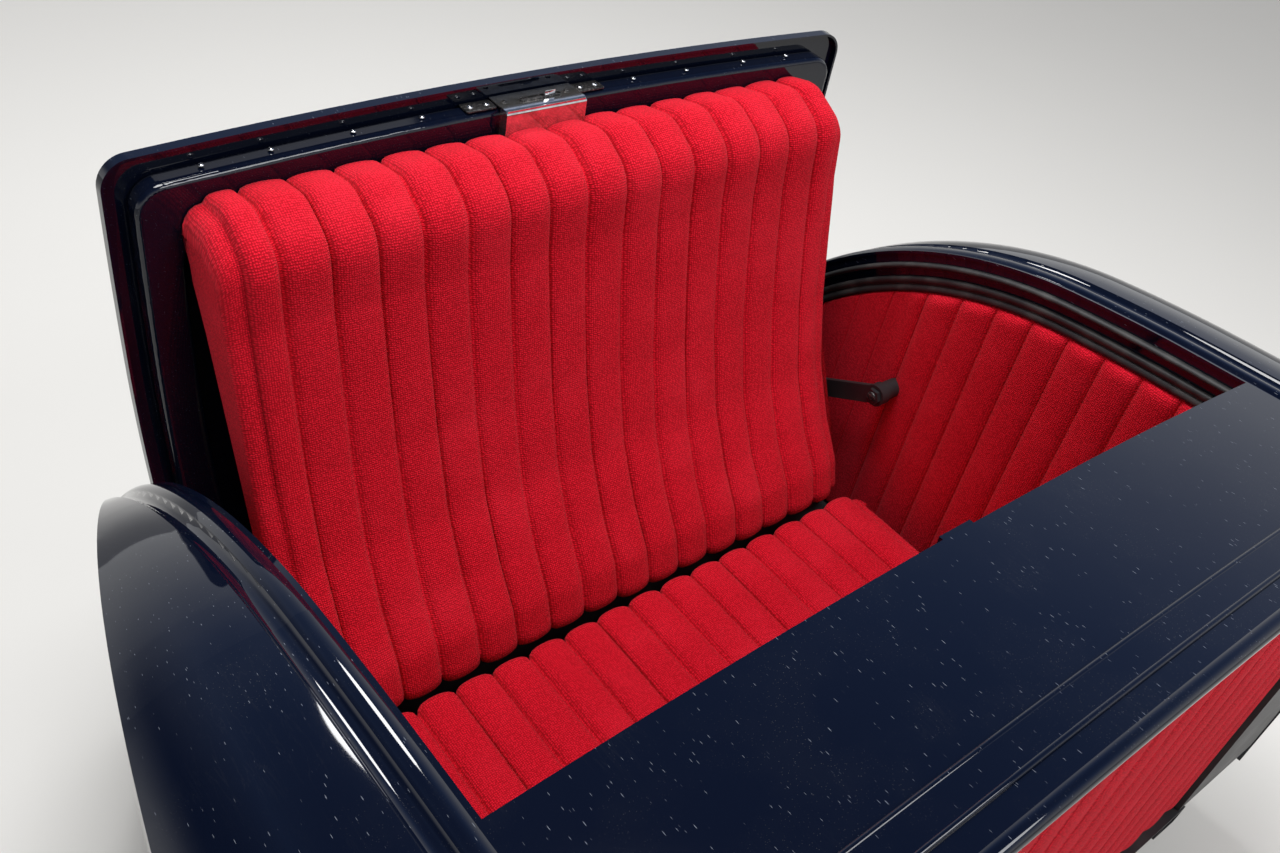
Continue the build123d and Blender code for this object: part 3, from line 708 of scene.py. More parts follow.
def pad_stations(edges, half_width):
    """Places across a pad, closer together beside its seams, and then round its ends."""
    end_seam = edges[-1]
    stations = []
    for low, high in zip(edges, edges[1:]):
        for part in range(PLEAT_COLUMNS):
            stations.append((low + (high - low) * crowded(part / PLEAT_COLUMNS), 0.0))
    stations.append((end_seam, 0.0))
    ends = []
    reach = half_width - end_seam
    for part in range(1, 6):
        angle = math.pi / 2 * part / 5
        ends.append((end_seam + reach * math.sin(angle), 1 - math.cos(angle)))
    mirrored = [(-x, inset) for x, inset in reversed(ends)]
    return mirrored + stations + ends


def loft(bm, places):
    """Join a row of closed rings of points by extruding the first, and close both ends."""
    ring = [bm.verts.new(point) for point in places[0]]
    edges = [bm.edges.new(pair) for pair in zip(ring, ring[1:] + ring[:1])]
    rings = [ring]
    for points in places[1:]:
        made = bmesh.ops.extrude_edge_only(bm, edges=edges)["geom"]
        fresh = set(verts_of(made))
        ring = [next(e.other_vert(v) for e in v.link_edges if e.other_vert(v) in fresh) for v in ring]
        edges = [e for e in made if isinstance(e, bmesh.types.BMEdge) and fresh.issuperset(e.verts)]
        for vertex, point in zip(ring, points):
            vertex.co = point
        rings.append(ring)
    for end in (rings[0], rings[-1]):
        bmesh.ops.contextual_create(bm, geom=end)
    bmesh.ops.recalc_face_normals(bm, faces=bm.faces)
    return rings


def corner_drop(x, half_width, radius):
    """How far a pad's top falls at x, where its two upper corners are rounded."""
    beyond = min(radius, abs(x) - (half_width - radius))
    return radius - math.sqrt(radius**2 - beyond**2) if beyond > 0 else 0.0


def pleated_pad(name, node, body, corners, seams, end_seam, half_width, end_round, limit=None,
                corner_radius=0.0):
    """A closed pad: its outline swept across the body, puffed into pleats between sewn seams."""
    top = max(corner[1] for corner in corners)
    cloth = bpy.context.scene.cloth_settings
    outline = rounded_outline(corners, OUTLINE_STEP)
    normals = outline_normals(outline)
    runs = [0.0]
    for index in range(1, len(outline) + 1):
        runs.append(runs[-1] + (outline[index % len(outline)][0] - outline[index - 1][0]).length)
    chance = random.Random(name)
    swing = [(chance.uniform(0, 6.28), chance.uniform(0.9, 1.1)) for _ in range(len(seams) + 2)]
    edges = [-end_seam, *seams, end_seam]
    places = []
    for x, inset in pad_stations(edges, half_width):
        dome, gap = pleat_shape(x, edges, PAD_SECTION)
        pleat = sum(1 for s in seams if s < x)
        phase, strength = swing[pleat]
        between = inset == 0
        pinch = math.exp(-(gap / cloth.seam_width) ** 2 if between else -END_FADE * inset)
        ring = []
        for index, (point, puff) in enumerate(outline):
            normal = normals[index]
            ripple = 1 + RIPPLE[0] * math.sin(runs[index] * RIPPLE[1] + phase)
            fullness = min(1.0, puff / FULL_PLEAT)
            shift = puff * (dome * strength * ripple - PAD_SINK) if between else -PAD_SINK * puff
            shift -= pinch * cloth.seam_depth * fullness
            shift -= inset * end_round
            wander = WANDER[0] * math.sin(runs[index] * WANDER[1] + pleat * 1.7) * fullness
            y = point.x + normal.x * shift
            z = point.y + normal.y * shift
            if corner_radius:
                z -= corner_drop(x, half_width, corner_radius) * clamped(1 - (top - z) / CORNER_FADE)
            if limit is not None:
                y = min(y, limit(x, z))
            ring.append(Vector((x + (wander if between and abs(x) < end_seam else 0.0), y, z)))
        places.append(ring)
    bm = bmesh.new()
    uv_layer = bm.loops.layers.uv.new("UVMap")
    rings = loft(bm, places)
    index_of = {vertex: index for ring in rings for index, vertex in enumerate(ring)}
    for face in bm.faces:
        indices = [index_of[loop.vert] for loop in face.loops]
        wraps = len(face.loops) == 4 and max(indices) - min(indices) > 1
        for loop, index in zip(face.loops, indices):
            if len(face.loops) > 4:
                loop[uv_layer].uv = (loop.vert.co.y, loop.vert.co.z)
            else:
                run = runs[-1] if wraps and index == 0 else runs[index]
                loop[uv_layer].uv = (loop.vert.co.x, run)
    piece = new_piece(name, bm, "woven_cloth", body)
    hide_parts(node)


def board_columns(start, end, seams, per_pleat):
    """Column places along a board, closer together beside the seams."""
    places = {start, end}
    for low, high in zip(seams, seams[1:]):
        for part in range(per_pleat + 1):
            place = low + (high - low) * crowded(part / per_pleat)
            if start < place < end:
                places.add(round(place, 6))
    return sorted(places)


def pleated_board(name, node, seams, across, toward, per_pleat, thickness, fullness=lambda place: 1.0):
    """A pleated board over a CAD node, between a level foot and the node's top edge.

    Its pleats lie side by side along the axis across, 0 or 1, and it faces along the other one, up it or
    down it by toward's sign. A fullness under 1 at a place flattens the pleats there.
    """
    cloth = bpy.context.scene.cloth_settings
    low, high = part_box(node)
    facing = 1 - across
    wall = low[facing] if toward < 0 else high[facing]
    middle = (low[facing] + high[facing]) / 2
    bottom = low.z + BOARD_MARGIN
    solid = bmesh.new()
    solid.from_mesh(frame["nodes"][node].data)
    tree = BVHTree.FromBMesh(solid)
    solid.free()

    def spot(place, depth, z):
        """A point from its place across the board and its place along the way it faces."""
        return Vector((place, depth, z) if across == 0 else (depth, place, z))

    bm = bmesh.new()
    uv_layer = bm.loops.layers.uv.new("UVMap")
    front = []
    ends = low[across] + BOARD_END_GAP, high[across] - BOARD_END_GAP
    for place in board_columns(*ends, seams, per_pleat):
        top = tree.ray_cast(spot(place, middle, 2.0), Vector((0, 0, -1)))[0].z - BOARD_MARGIN
        dome, gap = pleat_shape(place, seams, BOARD_SECTION)
        pinch = math.exp(-(gap / cloth.seam_width) ** 2)
        pleat = cloth.side_pleat_puff * dome - cloth.seam_depth * pinch * 0.6
        column = []
        for row in range(BOARD_ROWS + 1):
            # Rows crowd towards both ends, where the pleats round off
            z = bottom + (top - bottom) * crowded(row / BOARD_ROWS)
            edge = min(1.0, (top - z) / BOARD_RIM, (z - bottom) / BOARD_RIM)
            edge = math.sqrt(max(0.0, 1 - (1 - edge) ** 2))
            above = (pleat + BOARD_RISE) * edge - BOARD_RISE
            above = min(above, above * fullness(place))
            column.append(bm.verts.new(spot(place, wall + toward * above, z)))
        front.append(column)
    for left, right in zip(front, front[1:]):
        for row in range(BOARD_ROWS):
            bm.faces.new((left[row], right[row], right[row + 1], left[row + 1]))
    bmesh.ops.recalc_face_normals(bm, faces=bm.faces)
    outward = spot(0, toward, 0)
    if sum((f.normal.dot(outward) for f in bm.faces)) < 0:
        bmesh.ops.reverse_faces(bm, faces=bm.faces)
    rim = [e for e in bm.edges if e.is_boundary]
    made = bmesh.ops.extrude_edge_only(bm, edges=rim)["geom"]
    moved = verts_of(made)
    bmesh.ops.translate(bm, vec=-outward * thickness, verts=moved)
    back = [e for e in made if isinstance(e, bmesh.types.BMEdge) and all(v in moved for v in e.verts)]
    bmesh.ops.contextual_create(bm, geom=back)
    bmesh.ops.recalc_face_normals(bm, faces=bm.faces)
    for face in bm.faces:
        for loop in face.loops:
            co = loop.vert.co
            loop[uv_layer].uv = (co[across], co.z)
    piece = new_piece(name, bm, "woven_cloth", BODY)
    sharpen(piece, math.radians(60))
    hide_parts(node)


def seam_places(count):
    """Seams on both sides of one in the middle."""
    pitch = bpy.context.scene.cloth_settings.pleat_pitch
    return [pitch * k for k in range(-count, count + 1)]


def edge_places():
    """Places along the opening's edge: y, z and slope."""
    slope = DECK_SLOPE
    fall = math.tan(slope)
    flat_end = DECK_REAR_Y + EDGE_FLAT_RUN
    count = math.ceil((flat_end - STRIP_START_Y) / STRIP_STEP)
    places = []
    for part in range(count):
        y = STRIP_START_Y + (flat_end - STRIP_START_Y) * part / count
        places.append((y, EDGE_FRONT_Z - (y - DECK_REAR_Y) * fall, slope))
    y, z = flat_end, EDGE_FRONT_Z - EDGE_FLAT_RUN * fall
    for radius, end in EDGE_ARCS:
        turn = math.radians(end) - slope
        count = math.ceil(radius * turn / STRIP_STEP)
        for part in range(count):
            now = slope + turn * part / count
            places.append((
                y + radius * (math.sin(now) - math.sin(slope)),
                z - radius * (math.cos(slope) - math.cos(now)),
                now,
            ))
        y += radius * (math.sin(slope + turn) - math.sin(slope))
        z -= radius * (math.cos(slope) - math.cos(slope + turn))
        slope += turn
    places.append((y, z, slope))
    return places


def edge_strip(name, node, profile, side):
    """A strip of a given section along one side of the opening."""
    places = []
    for y, z, slope in edge_places():
        places.append([
            Vector((side * (FLANGE_X - inward), y - drop * math.sin(slope), z - drop * math.cos(slope)))
            for inward, drop in profile
        ])
    bm = bmesh.new()
    loft(bm, places)
    piece = new_piece(name, bm, "black_rubber", BODY)
    sharpen(piece, math.radians(60))
    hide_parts(node)


def lid_place(x, along, drop, facing):
    """A place on the opened lid: across, rearward from its front edge and below its skin when closed.

    The place's z points up along the opened lid, or out towards the seat.
    """
    rearward, outward = DECK_REARWARD, DECK_OUTWARD
    fall = CROWN_RISE * (x / CROWN_HALF_WIDTH) ** 2
    point = LID_FRONT + Vector((x, 0, 0)) + rearward * along - outward * (drop + fall)
    z_axis, y_axis = (-rearward, outward) if facing == "up" else (-outward, -rearward)
    turned = Matrix((Vector((1, 0, 0)), y_axis, z_axis)).transposed().to_4x4()
    opening = Matrix.Translation(HINGE) @ Matrix.Rotation(-OPEN_ANGLE, 4, "X") @ Matrix.Translation(-HINGE)
    return opening @ Matrix.Translation(point) @ turned


def add_copies(bm, mesh, places):
    """Add a shape to a bmesh at each place."""
    for place in places:
        first = len(bm.verts)
        bm.from_mesh(mesh)
        bm.verts.ensure_lookup_table()
        bmesh.ops.transform(bm, matrix=place, verts=bm.verts[first:])


def soften(bm, edges, offset, segments):
    """Round some edges."""
    bmesh.ops.bevel(bm, geom=edges, offset=offset, affect="EDGES", segments=segments, profile=0.5,
                    material=-1)


def block(width, depth, height):
    """A bmesh with a cuboid that stands on the x-y plane."""
    bm = bmesh.new()
    bmesh.ops.create_cube(bm, size=1.0)
    bmesh.ops.scale(bm, vec=(width, depth, height), verts=bm.verts)
    bmesh.ops.translate(bm, vec=(0, 0, height / 2), verts=bm.verts)
    return bm


def screw_shape(radius, segments):
    """Domed screw head with a driver slot, standing on the x-y plane."""
    height = radius * 0.55
    slot = radius * 0.16
    bm = bmesh.new()
    steps = 6
    angles = [math.pi / 2 * part / steps for part in range(steps + 1)]
    dome = [bm.verts.new((radius * math.cos(a), 0, height * math.sin(a))) for a in angles]
    edges = [bm.edges.new(pair) for pair in zip(dome, dome[1:])]
    bmesh.ops.spin(bm, geom=dome + edges, cent=(0, 0, 0), axis=(0, 0, 1), angle=math.tau, steps=segments,
                   use_merge=True)
    bmesh.ops.remove_doubles(bm, verts=bm.verts, dist=radius * 0.001)
    bmesh.ops.contextual_create(bm, geom=[e for e in bm.edges if e.is_boundary])
    for side in (-1, 1):
        everything = list(bm.verts) + list(bm.edges) + list(bm.faces)
        bmesh.ops.bisect_plane(bm, geom=everything, dist=radius * 0.0001, plane_co=(side * slot, 0, 0),
                               plane_no=(1, 0, 0))
    middles = {f: f.calc_center_median() for f in bm.faces}
    middle = [f for f, place in middles.items() if abs(place.x) < slot and place.z > height * 0.2]
    made = bmesh.ops.extrude_face_region(bm, geom=middle)["geom"]
    bmesh.ops.delete(bm, geom=middle, context="FACES_KEEP_BOUNDARY")
    bmesh.ops.translate(bm, vec=(0, 0, -height * 0.4), verts=verts_of(made))
    bmesh.ops.recalc_face_normals(bm, faces=bm.faces)
    return shape(bm, "screw")


def plate_shape(width, depth, thickness, corner):
    """Flat plate with rounded corners and softened edges, standing on the x-y plane."""
    bm = block(width, depth, thickness)
    upright = [e for e in bm.edges if abs(e.verts[0].co.z - e.verts[1].co.z) > thickness / 2]
    soften(bm, upright, corner, 4)
    rim = [e for e in bm.edges if min(v.co.z for v in e.verts) > thickness * 0.9
           and e.calc_face_angle(0) > math.radians(60)]
    soften(bm, rim, thickness * 0.35, 2)
    return shape(bm, "plate")


def slot_shape(reach, width, height, lip):
    """Long rounded rim with a sunk middle."""
    bm = bmesh.new()
    bmesh.ops.create_circle(bm, cap_ends=True, radius=width / 2, segments=20)
    run = reach / 2 - width / 2
    for side in (-1, 1):
        half = [v for v in bm.verts if v.co.x * side > 0.00001]
        bmesh.ops.translate(bm, vec=(side * run, 0, 0), verts=half)
    bottom = list(bm.faces)
    top = bmesh.ops.extrude_face_region(bm, geom=bottom)["geom"]
    bmesh.ops.translate(bm, vec=(0, 0, height), verts=verts_of(top))
    cap = [f for f in top if isinstance(f, bmesh.types.BMFace)]
    bmesh.ops.inset_region(bm, faces=cap, thickness=lip, depth=0.0, use_even_offset=True)
    bmesh.ops.inset_region(bm, faces=cap, thickness=lip * 0.1, depth=-height * 0.9, use_even_offset=True)
    bmesh.ops.recalc_face_normals(bm, faces=bm.faces)
    return shape(bm, "slot")


def fitted(name, mesh, places, material_name, body):
    """A piece made of copies of one shape."""
    bm = bmesh.new()
    add_copies(bm, mesh, places)
    sharpen(new_piece(name, bm, material_name, body))


# Operators

class PIECE_OT_seat_back(bpy.types.Operator):
    """Pleated seat back with a full roll along its crest, carried by the lid"""

    bl_idname = "rumble.seat_back"
    bl_label = "Seat back"

    def execute(self, context):
        # Corners of the side view: y, z, rounding radius, pleat height
        corners = (
            (0.291, 0.164, 0.010, 0.0),
            (0.198, 0.145, 0.014, 0.0100),
            (0.222, 0.208, 0.040, 0.0100),
            (0.262, 0.262, 0.080, 0.0080),
            (0.304, 0.338, 0.150, 0.0050),
            (0.338, 0.440, 0.200, 0.0040),
            (0.360, 0.530, 0.200, 0.0045),
            (0.379, 0.618, 0.080, 0.0085),
            (0.388, 0.694, 0.046, 0.0125),
            (0.440, 0.722, 0.034, 0.0125),
            (0.500, 0.712, 0.008, 0.0060),
            (0.486, 0.690, 0.008, 0.0),
            (0.478, 0.640, 0.004, 0.0),
        )

        def limit(x, z):
            """The back keeps clear of the lid's inner frame, which is crowned across."""
            crown = CROWN_RISE * (1 - (x / CROWN_HALF_WIDTH) ** 2)
            return FRAME_FACE_Y + crown if z > FRAME_FOOT_Z else 1.0

        pleated_pad("seat_back_upholstery", "seat_back", LID, corners, seam_places(7), end_seam=0.414,
                    half_width=0.437, end_round=0.012, limit=limit, corner_radius=0.025)
        return {"FINISHED"}


class PIECE_OT_seat_cushion(bpy.types.Operator):
    """Pleated seat cushion whose seams run front to rear, in line with the seat back's"""

    bl_idname = "rumble.seat_cushion"
    bl_label = "Seat cushion"

    def execute(self, context):
        low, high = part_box("seat_cushion")
        # Corners of the side view: y, z, rounding radius, pleat height
        corners = (
            (low.y + 0.004, low.z + 0.001, 0.006, 0.0),
            (high.y - 0.003, low.z + 0.001, 0.006, 0.0),
            (high.y - 0.001, high.z + 0.001, 0.008, 0.0095),
            (high.y - 0.060, high.z + 0.003, 0.0, 0.0085),
            (low.y + 0.060, high.z + 0.003, 0.0, 0.0085),
            (low.y + 0.006, high.z - 0.001, 0.022, 0.0095),
            (low.y + 0.005, low.z + 0.030, 0.0, 0.006),
        )
        pleated_pad("seat_cushion_upholstery", "seat_cushion", BODY, corners, seam_places(7), end_seam=0.432,
                    half_width=high.x - 0.001, end_round=0.020)
        return {"FINISHED"}


class PIECE_OT_side_boards(bpy.types.Operator):
    """Pleated boards that line both sides of the seat space"""

    bl_idname = "rumble.side_boards"
    bl_label = "Side boards"

    def execute(self, context):
        def fullness(place):
            """The pleats flatten where the opened lid's sides pass them."""
            return 1 - clamped((place - LID_PASS_Y[0]) / (LID_PASS_Y[1] - LID_PASS_Y[0]))

        seams = [seam + SIDE_SEAM_SHIFT for seam in seam_places(9)[:-1]]
        for name, side in SIDES.items():
            pleated_board("side_board_upholstery_" + name, "side_trim_" + name, seams, across=1, toward=-side,
                          per_pleat=10, thickness=0.0055, fullness=fullness)
        return {"FINISHED"}


class PIECE_OT_cockpit_wall(bpy.types.Operator):
    """Pleated wall behind the front seat, below the deck's rolled edge"""

    bl_idname = "rumble.cockpit_wall"
    bl_label = "Cockpit wall"

    def execute(self, context):
        pleated_board("cockpit_wall_upholstery", "cockpit_panel", seam_places(10), across=0, toward=-1,
                      per_pleat=8, thickness=0.007)
        return {"FINISHED"}


class PIECE_OT_edge_strips(bpy.types.Operator):
    """Ridged strips and rubber seals along both sides of the opening"""

    bl_idname = "rumble.edge_strips"
    bl_label = "Edge strips"

    def execute(self, context):
        for name, side in SIDES.items():
            edge_strip("ridged_strip_" + name, "trim_strip_" + name, STRIP_PROFILE, side)
            edge_strip("edge_seal_" + name, "weatherstrip_" + name, SEAL_PROFILE, side)
        return {"FINISHED"}


class PIECE_OT_deck_beads(bpy.types.Operator):
    """Two fine raised lines across the deck, which follow its crown"""

    bl_idname = "rumble.deck_beads"
    bl_label = "Deck beads"

    def execute(self, context):
        paint = context.scene.paint_settings
        crown_radius = (CROWN_HALF_WIDTH**2 + CROWN_RISE**2) / (2 * CROWN_RISE)
        rearward, outward = DECK_REARWARD, DECK_OUTWARD
        reach = math.asin((CROWN_HALF_WIDTH - 0.006) / crown_radius)
        bm = bmesh.new()
        for y in DECK_BEADS_Y:
            skin = Vector((0, y, EDGE_FRONT_Z - (y - DECK_REAR_Y) * math.tan(DECK_SLOPE) + CROWN_RISE))
            turned = Matrix((outward, rearward, Vector((1, 0, 0)))).transposed().to_4x4()
            made = bmesh.ops.create_circle(bm, cap_ends=False, radius=paint.bead_radius, segments=16)
            start = made["verts"]
            middle = Matrix.Translation(skin - outward * paint.bead_sink)
            bmesh.ops.transform(bm, matrix=middle @ turned, verts=start)
            centre = skin - outward * crown_radius
            bmesh.ops.rotate(bm, cent=centre, matrix=Matrix.Rotation(-reach, 3, rearward), verts=start)
            edges = list(dict.fromkeys(e for v in start for e in v.link_edges))
            bmesh.ops.spin(bm, geom=start + edges, cent=centre, axis=rearward, angle=2 * reach, steps=40)
        bmesh.ops.holes_fill(bm, edges=bm.edges, sides=0)
        bmesh.ops.recalc_face_normals(bm, faces=bm.faces)
        sharpen(new_piece("deck_beads", bm, "gloss_paint", BODY))
        return {"FINISHED"}


class PIECE_OT_latch(bpy.types.Operator):
    """Bright latch cover with its slot, bolt and screws, on the lid's front edge"""

    bl_idname = "rumble.latch"
    bl_label = "Latch"

    def execute(self, context):
        fitting = context.scene.fitting_settings
        self.cover(fitting.latch_width / 2)
        self.bolt()
        self.screws(fitting.segments)
        self.side_plates(fitting.latch_width / 2 + 0.021, fitting.segments)
        return {"FINISHED"}

    def cover(self, half):
        """The cover: a sheet bent from the top plate into the face."""
        # Side view of the bent sheet: rearward, drop
        bent = [(LATCH_TOP_LINE, 0.0070)]
        for part in range(9):
            turn = math.pi / 2 * part / 8
            rearward = LATCH_TOP_LINE + LATCH_BEND * (1 - math.cos(turn))
            bent.append((rearward, LATCH_FACE_LINE - LATCH_BEND * (1 - math.sin(turn))))
        bent.append((0.0655, LATCH_FACE_LINE))
        bm = bmesh.new()
        line = [bm.verts.new((0, drop, along)) for along, drop in bent]
        edges = [bm.edges.new(pair) for pair in zip(line, line[1:])]
        made = bmesh.ops.extrude_edge_only(bm, edges=edges)["geom"]
        bmesh.ops.translate(bm, vec=(half, 0, 0), verts=verts_of(made))
        bmesh.ops.translate(bm, vec=(-half, 0, 0), verts=line)
        bmesh.ops.recalc_face_normals(bm, faces=bm.faces)
        bmesh.ops.solidify(bm, geom=list(bm.faces), thickness=LATCH_SHEET)
        # From drop and rearward distance to the opened lid's place
        swap = Matrix(((1, 0, 0, 0), (0, -1, 0, 0), (0, 0, -1, 0), (0, 0, 0, 1)))
        bmesh.ops.transform(bm, matrix=lid_place(0, 0, 0, "up") @ swap, verts=bm.verts)
        bmesh.ops.recalc_face_normals(bm, faces=bm.faces)
        sharpen(new_piece("latch_cover", bm, "worn_nickel", LID), math.radians(50))

    def bolt(self):
        """The long slot in the top plate, and the bolt's slanted head in it."""
        # Painted shade: the slot is not cut through the plate; a blackened steel rim with a sunk middle sits
        # on it and stands in for the shaded hole
        slot = slot_shape(reach=0.058, width=0.0085, height=0.0016, lip=0.0014)
        places = [lid_place(0.002, 0.0200, 0.0270, "up")]
        fitted("latch_slot", slot, places, "dark_steel", LID)
        bm = block(width=0.015, depth=0.0050, height=0.008)
        high = [v for v in bm.verts if v.co.z > 0.004 and v.co.y > 0]
        bmesh.ops.translate(bm, vec=(0, 0, -0.005), verts=high)
        soften(bm, list(bm.edges), 0.0006, 2)
        places = [lid_place(0.014, 0.0200, 0.0270, "up")]
        fitted("latch_bolt", shape(bm, "latch_bolt"), places, "plated_metal", LID)

    def screws(self, segments):
        """Screws of the face and the top plate."""
        places = {}
        for x, radius in LATCH_FACE_SCREWS:
            place = lid_place(x, 0.0605, LATCH_FACE_LINE, "out") @ Matrix.Rotation(x * 40, 4, "Z")
            places.setdefault(radius, []).append(place)
        for x, radius in LATCH_TOP_SCREWS:
            place = lid_place(x, LATCH_TOP_LINE, 0.0235, "up") @ Matrix.Rotation(x * 25, 4, "Z")
            places.setdefault(radius, []).append(place)
        bm = bmesh.new()
        for radius, spots in places.items():
            add_copies(bm, screw_shape(radius, segments), spots)
        sharpen(new_piece("latch_screws", bm, "dark_steel", LID))

    def side_plates(self, across, segments):
        """A small plate with two screws at each side of the cover."""
        plate = plate_shape(width=0.040, depth=0.021, thickness=0.0016, corner=0.0030)
        places = [lid_place(side * across, 0.0240, 0.0170, "up") for side in (-1, 1)]
        fitted("latch_side_plates", plate, places, "dark_steel", LID)
        spots = [
            lid_place(side * across + step, 0.0224, 0.0170, "up") @ Matrix.Rotation(step * 60 + side, 4, "Z")
            for side in (-1, 1)
            for step in (-0.011, 0.011)
        ]
        fitted("side_plate_screws", screw_shape(0.0036, segments), spots, "plated_metal", LID)


class PIECE_OT_lid_fittings(bpy.types.Operator):
    """Small screws in the channel round the lid's frame"""

    bl_idname = "rumble.lid_fittings"
    bl_label = "Lid fittings"

    def execute(self, context):
        screw = screw_shape(radius=0.0032, segments=context.scene.fitting_settings.segments)
        spots = [
            lid_place(side * x, 0.0240, 0.0150, "up") @ Matrix.Rotation(x * 50, 4, "Z")
            for side in (-1, 1)
            for x in FRAME_SCREWS_X
        ]
        fitted("frame_screws", screw, spots, "plated_metal", LID)
        return {"FINISHED"}


class PIECE_OT_pivot_caps(bpy.types.Operator):
    """Domed caps on the heads of the lid's two pivot pins"""

    bl_idname = "rumble.pivot_caps"
    bl_label = "Pivot caps"

    def execute(self, context):
        fitting = context.scene.fitting_settings
        for name, side in SIDES.items():
            low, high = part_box("hinge_bracket_" + name)
            head_x = min(low.x * side, high.x * side) * side
            turned = Matrix.Rotation(-side * math.pi / 2, 4, "Y")
            place = Matrix.Translation((head_x + side * 0.0006, HINGE.y, HINGE.z)) @ turned
            cap = screw_shape(fitting.bolt_radius, fitting.segments)
            fitted("pivot_cap_" + name, cap, [place], "dark_steel", BODY)
        return {"FINISHED"}


class PIECE_OT_finishes(bpy.types.Operator):
    """Give every carried-over panel, strip and frame piece its finish"""

    bl_idname = "rumble.finishes"
    bl_label = "Finishes"

    def execute(self, context):
        for name, nodes in NODE_FINISHES.items():
            made = finish(name)
            for node in nodes:
                piece = frame["nodes"][node]
                piece.data.materials.clear()
                piece.data.materials.append(made)
        return {"FINISHED"}


class STAGE_OT_studio(bpy.types.Operator):
    """Pale floor, white background, soft lamps and the camera"""

    bl_idname = "rumble.studio"
    bl_label = "Studio"

    def execute(self, context):
        scene = context.scene
        stage = scene.stage_settings
        low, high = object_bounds()

        bm = bmesh.new()
        bmesh.ops.create_grid(bm, x_segments=1, y_segments=1, size=40.0)
        bmesh.ops.translate(bm, vec=(0, 0, low[2] - 0.002), verts=bm.verts)
        mesh = shape(bm, "floor")
        floor = bpy.data.objects.new("floor", mesh)
        scene.collection.objects.link(floor)
        made = bpy.data.materials.new("pale_floor")
        nodes = Nodes(made)
        grain = nodes.noise(nodes.coordinates(), 3.0, 4.0)
        base = nodes.mix(grain * 0.5, stage.floor, [0.96 * c for c in stage.floor])
        nodes.surface(Base_Color=base, Roughness=0.75, Specular_IOR_Level=0.2)
        mesh.materials.append(made)
        floor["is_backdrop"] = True

        world = bpy.data.worlds.new("studio")
        scene.world = world
        nodes = Nodes(world)
        path = nodes.add("ShaderNodeLightPath")
        seen = nodes.either(path["Is Camera Ray"], path["Is Glossy Ray"], path["Is Transmission Ray"])
        outlook = nodes.add("ShaderNodeTexCoord")["Generated"]
        heading = nodes.add("ShaderNodeSeparateXYZ", {}, {"Vector": outlook})
        upward = heading["Z"]
        shaded = nodes.ramp(heading["X"], -0.10, -0.60) * nodes.ramp(upward, 0.15, 0.45)
        sky = nodes.mix(nodes.ramp(upward, 0.04, 0.72), (0.93, 0.94, 0.95), stage.ceiling)
        sky = nodes.mix(nodes.either(nodes.ramp(upward, 0.50, 0.92), shaded), sky, stage.zenith)
        dim = nodes.add("ShaderNodeBackground", {}, {"Color": (1, 1, 1), "Strength": stage.ambient})
        bright = nodes.add("ShaderNodeBackground", {}, {"Color": sky, "Strength": 1.0})
        mixed = nodes.add("ShaderNodeMixShader", {}, {0: seen, 1: dim["Background"], 2: bright["Background"]})
        nodes.add("ShaderNodeOutputWorld", {}, {"Surface": mixed["Shader"]})

        # Lamps: name, place, target, size, power
        lamps = (
            ("key", (0.9, -1.9, 2.7), (0.0, 0.1, 0.4), 1.3, 32.0),
            ("top", (-0.1, 0.35, 3.1), (0.0, 0.0, 0.3), 1.3, 62.0),
            ("rear", (0.5, 2.2, 3.1), (0.0, 0.1, 0.6), 0.8, 36.0),
        )
        for name, place, target, size, power in lamps:
            lamp = bpy.data.lights.new(name, "AREA")
            lamp.shape = "DISK"
            lamp.size = size
            lamp.energy = power
            holder = bpy.data.objects.new(name, lamp)
            holder.location = place
            scene.collection.objects.link(holder)
            toward = Vector(target) - holder.location
            holder.rotation_euler = toward.to_track_quat("-Z", "Y").to_euler()

        lens = bpy.data.cameras.new("camera")
        lens.lens = stage.lens
        lens.sensor_width = 36.0
        lens.clip_end = 100.0
        lens.dof.use_dof = False
        camera = bpy.data.objects.new("camera", lens)
        scene.collection.objects.link(camera)
        a, e, r = stage.azimuth, stage.elevation, stage.roll
        back = Vector((math.sin(a) * math.cos(e), -math.cos(a) * math.cos(e), math.sin(e)))
        level = Vector((math.cos(a), math.sin(a), 0))
        upright = level.cross(-back)
        right = math.cos(r) * level + math.sin(r) * upright
        up = -math.sin(r) * level + math.cos(r) * upright
        turned = Matrix((right, up, back)).transposed().to_4x4()
        camera.matrix_world = Matrix.Translation(stage.place) @ turned
        scene.camera = camera
        scene.view_settings.view_transform = "Standard"
        return {"FINISHED"}


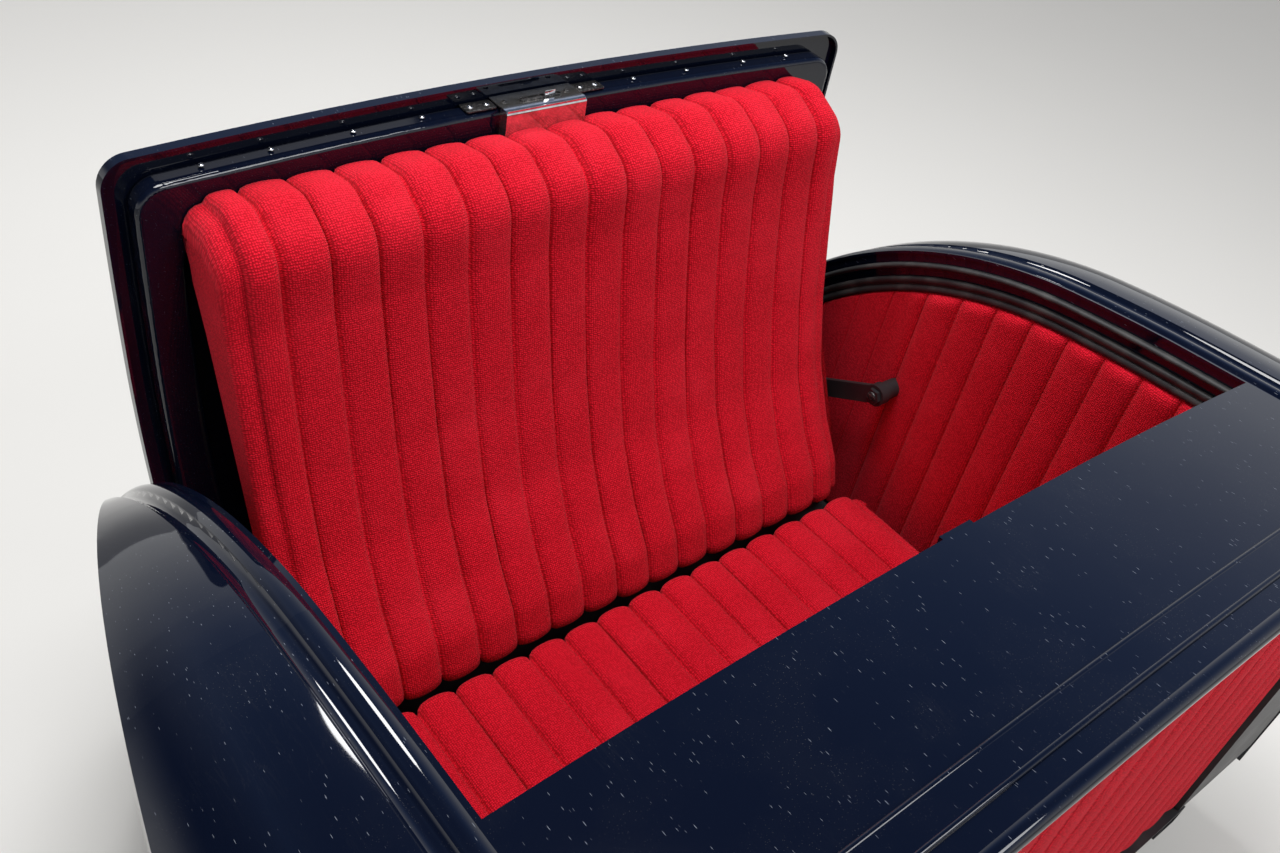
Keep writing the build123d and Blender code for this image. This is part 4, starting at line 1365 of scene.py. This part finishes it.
class RUMBLE_PT_panel(bpy.types.Panel):
    """Settings and pieces of the rumble seat body section"""

    bl_label = "Rumble seat"
    bl_idname = "RUMBLE_PT_panel"
    bl_space_type = "VIEW_3D"
    bl_region_type = "UI"
    bl_category = "Rumble seat"

    def draw(self, context):
        layout = self.layout
        for name in SETTINGS:
            group = getattr(context.scene, name)
            box = layout.box()
            for field in group.__annotations__:
                box.prop(group, field)
        for operator in OPERATORS:
            layout.operator(operator.bl_idname)


SETTINGS = {
    "cloth_settings": CLOTH_PG_settings,
    "paint_settings": PAINT_PG_settings,
    "fitting_settings": FITTING_PG_settings,
    "stage_settings": STAGE_PG_settings,
}

OPERATORS = (
    PIECE_OT_finishes,
    PIECE_OT_seat_back,
    PIECE_OT_seat_cushion,
    PIECE_OT_side_boards,
    PIECE_OT_cockpit_wall,
    PIECE_OT_edge_strips,
    PIECE_OT_deck_beads,
    PIECE_OT_latch,
    PIECE_OT_lid_fittings,
    PIECE_OT_pivot_caps,
    STAGE_OT_studio,
)


def register():
    for name, group in SETTINGS.items():
        bpy.utils.register_class(group)
        setattr(bpy.types.Scene, name, PointerProperty(type=group))
    for operator in OPERATORS:
        bpy.utils.register_class(operator)
    bpy.utils.register_class(RUMBLE_PT_panel)


def unregister():
    bpy.utils.unregister_class(RUMBLE_PT_panel)
    for operator in reversed(OPERATORS):
        bpy.utils.unregister_class(operator)
    for name, group in SETTINGS.items():
        delattr(bpy.types.Scene, name)
        bpy.utils.unregister_class(group)


def main():
    """Make every piece and the stage."""
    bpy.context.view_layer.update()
    register()
    bpy.ops.rumble.finishes()
    bpy.ops.rumble.seat_back()
    bpy.ops.rumble.seat_cushion()
    bpy.ops.rumble.side_boards()
    bpy.ops.rumble.cockpit_wall()
    bpy.ops.rumble.edge_strips()
    bpy.ops.rumble.deck_beads()
    bpy.ops.rumble.latch()
    bpy.ops.rumble.lid_fittings()
    bpy.ops.rumble.pivot_caps()
    bpy.ops.rumble.studio()


if __name__ == "__main__":
    main()
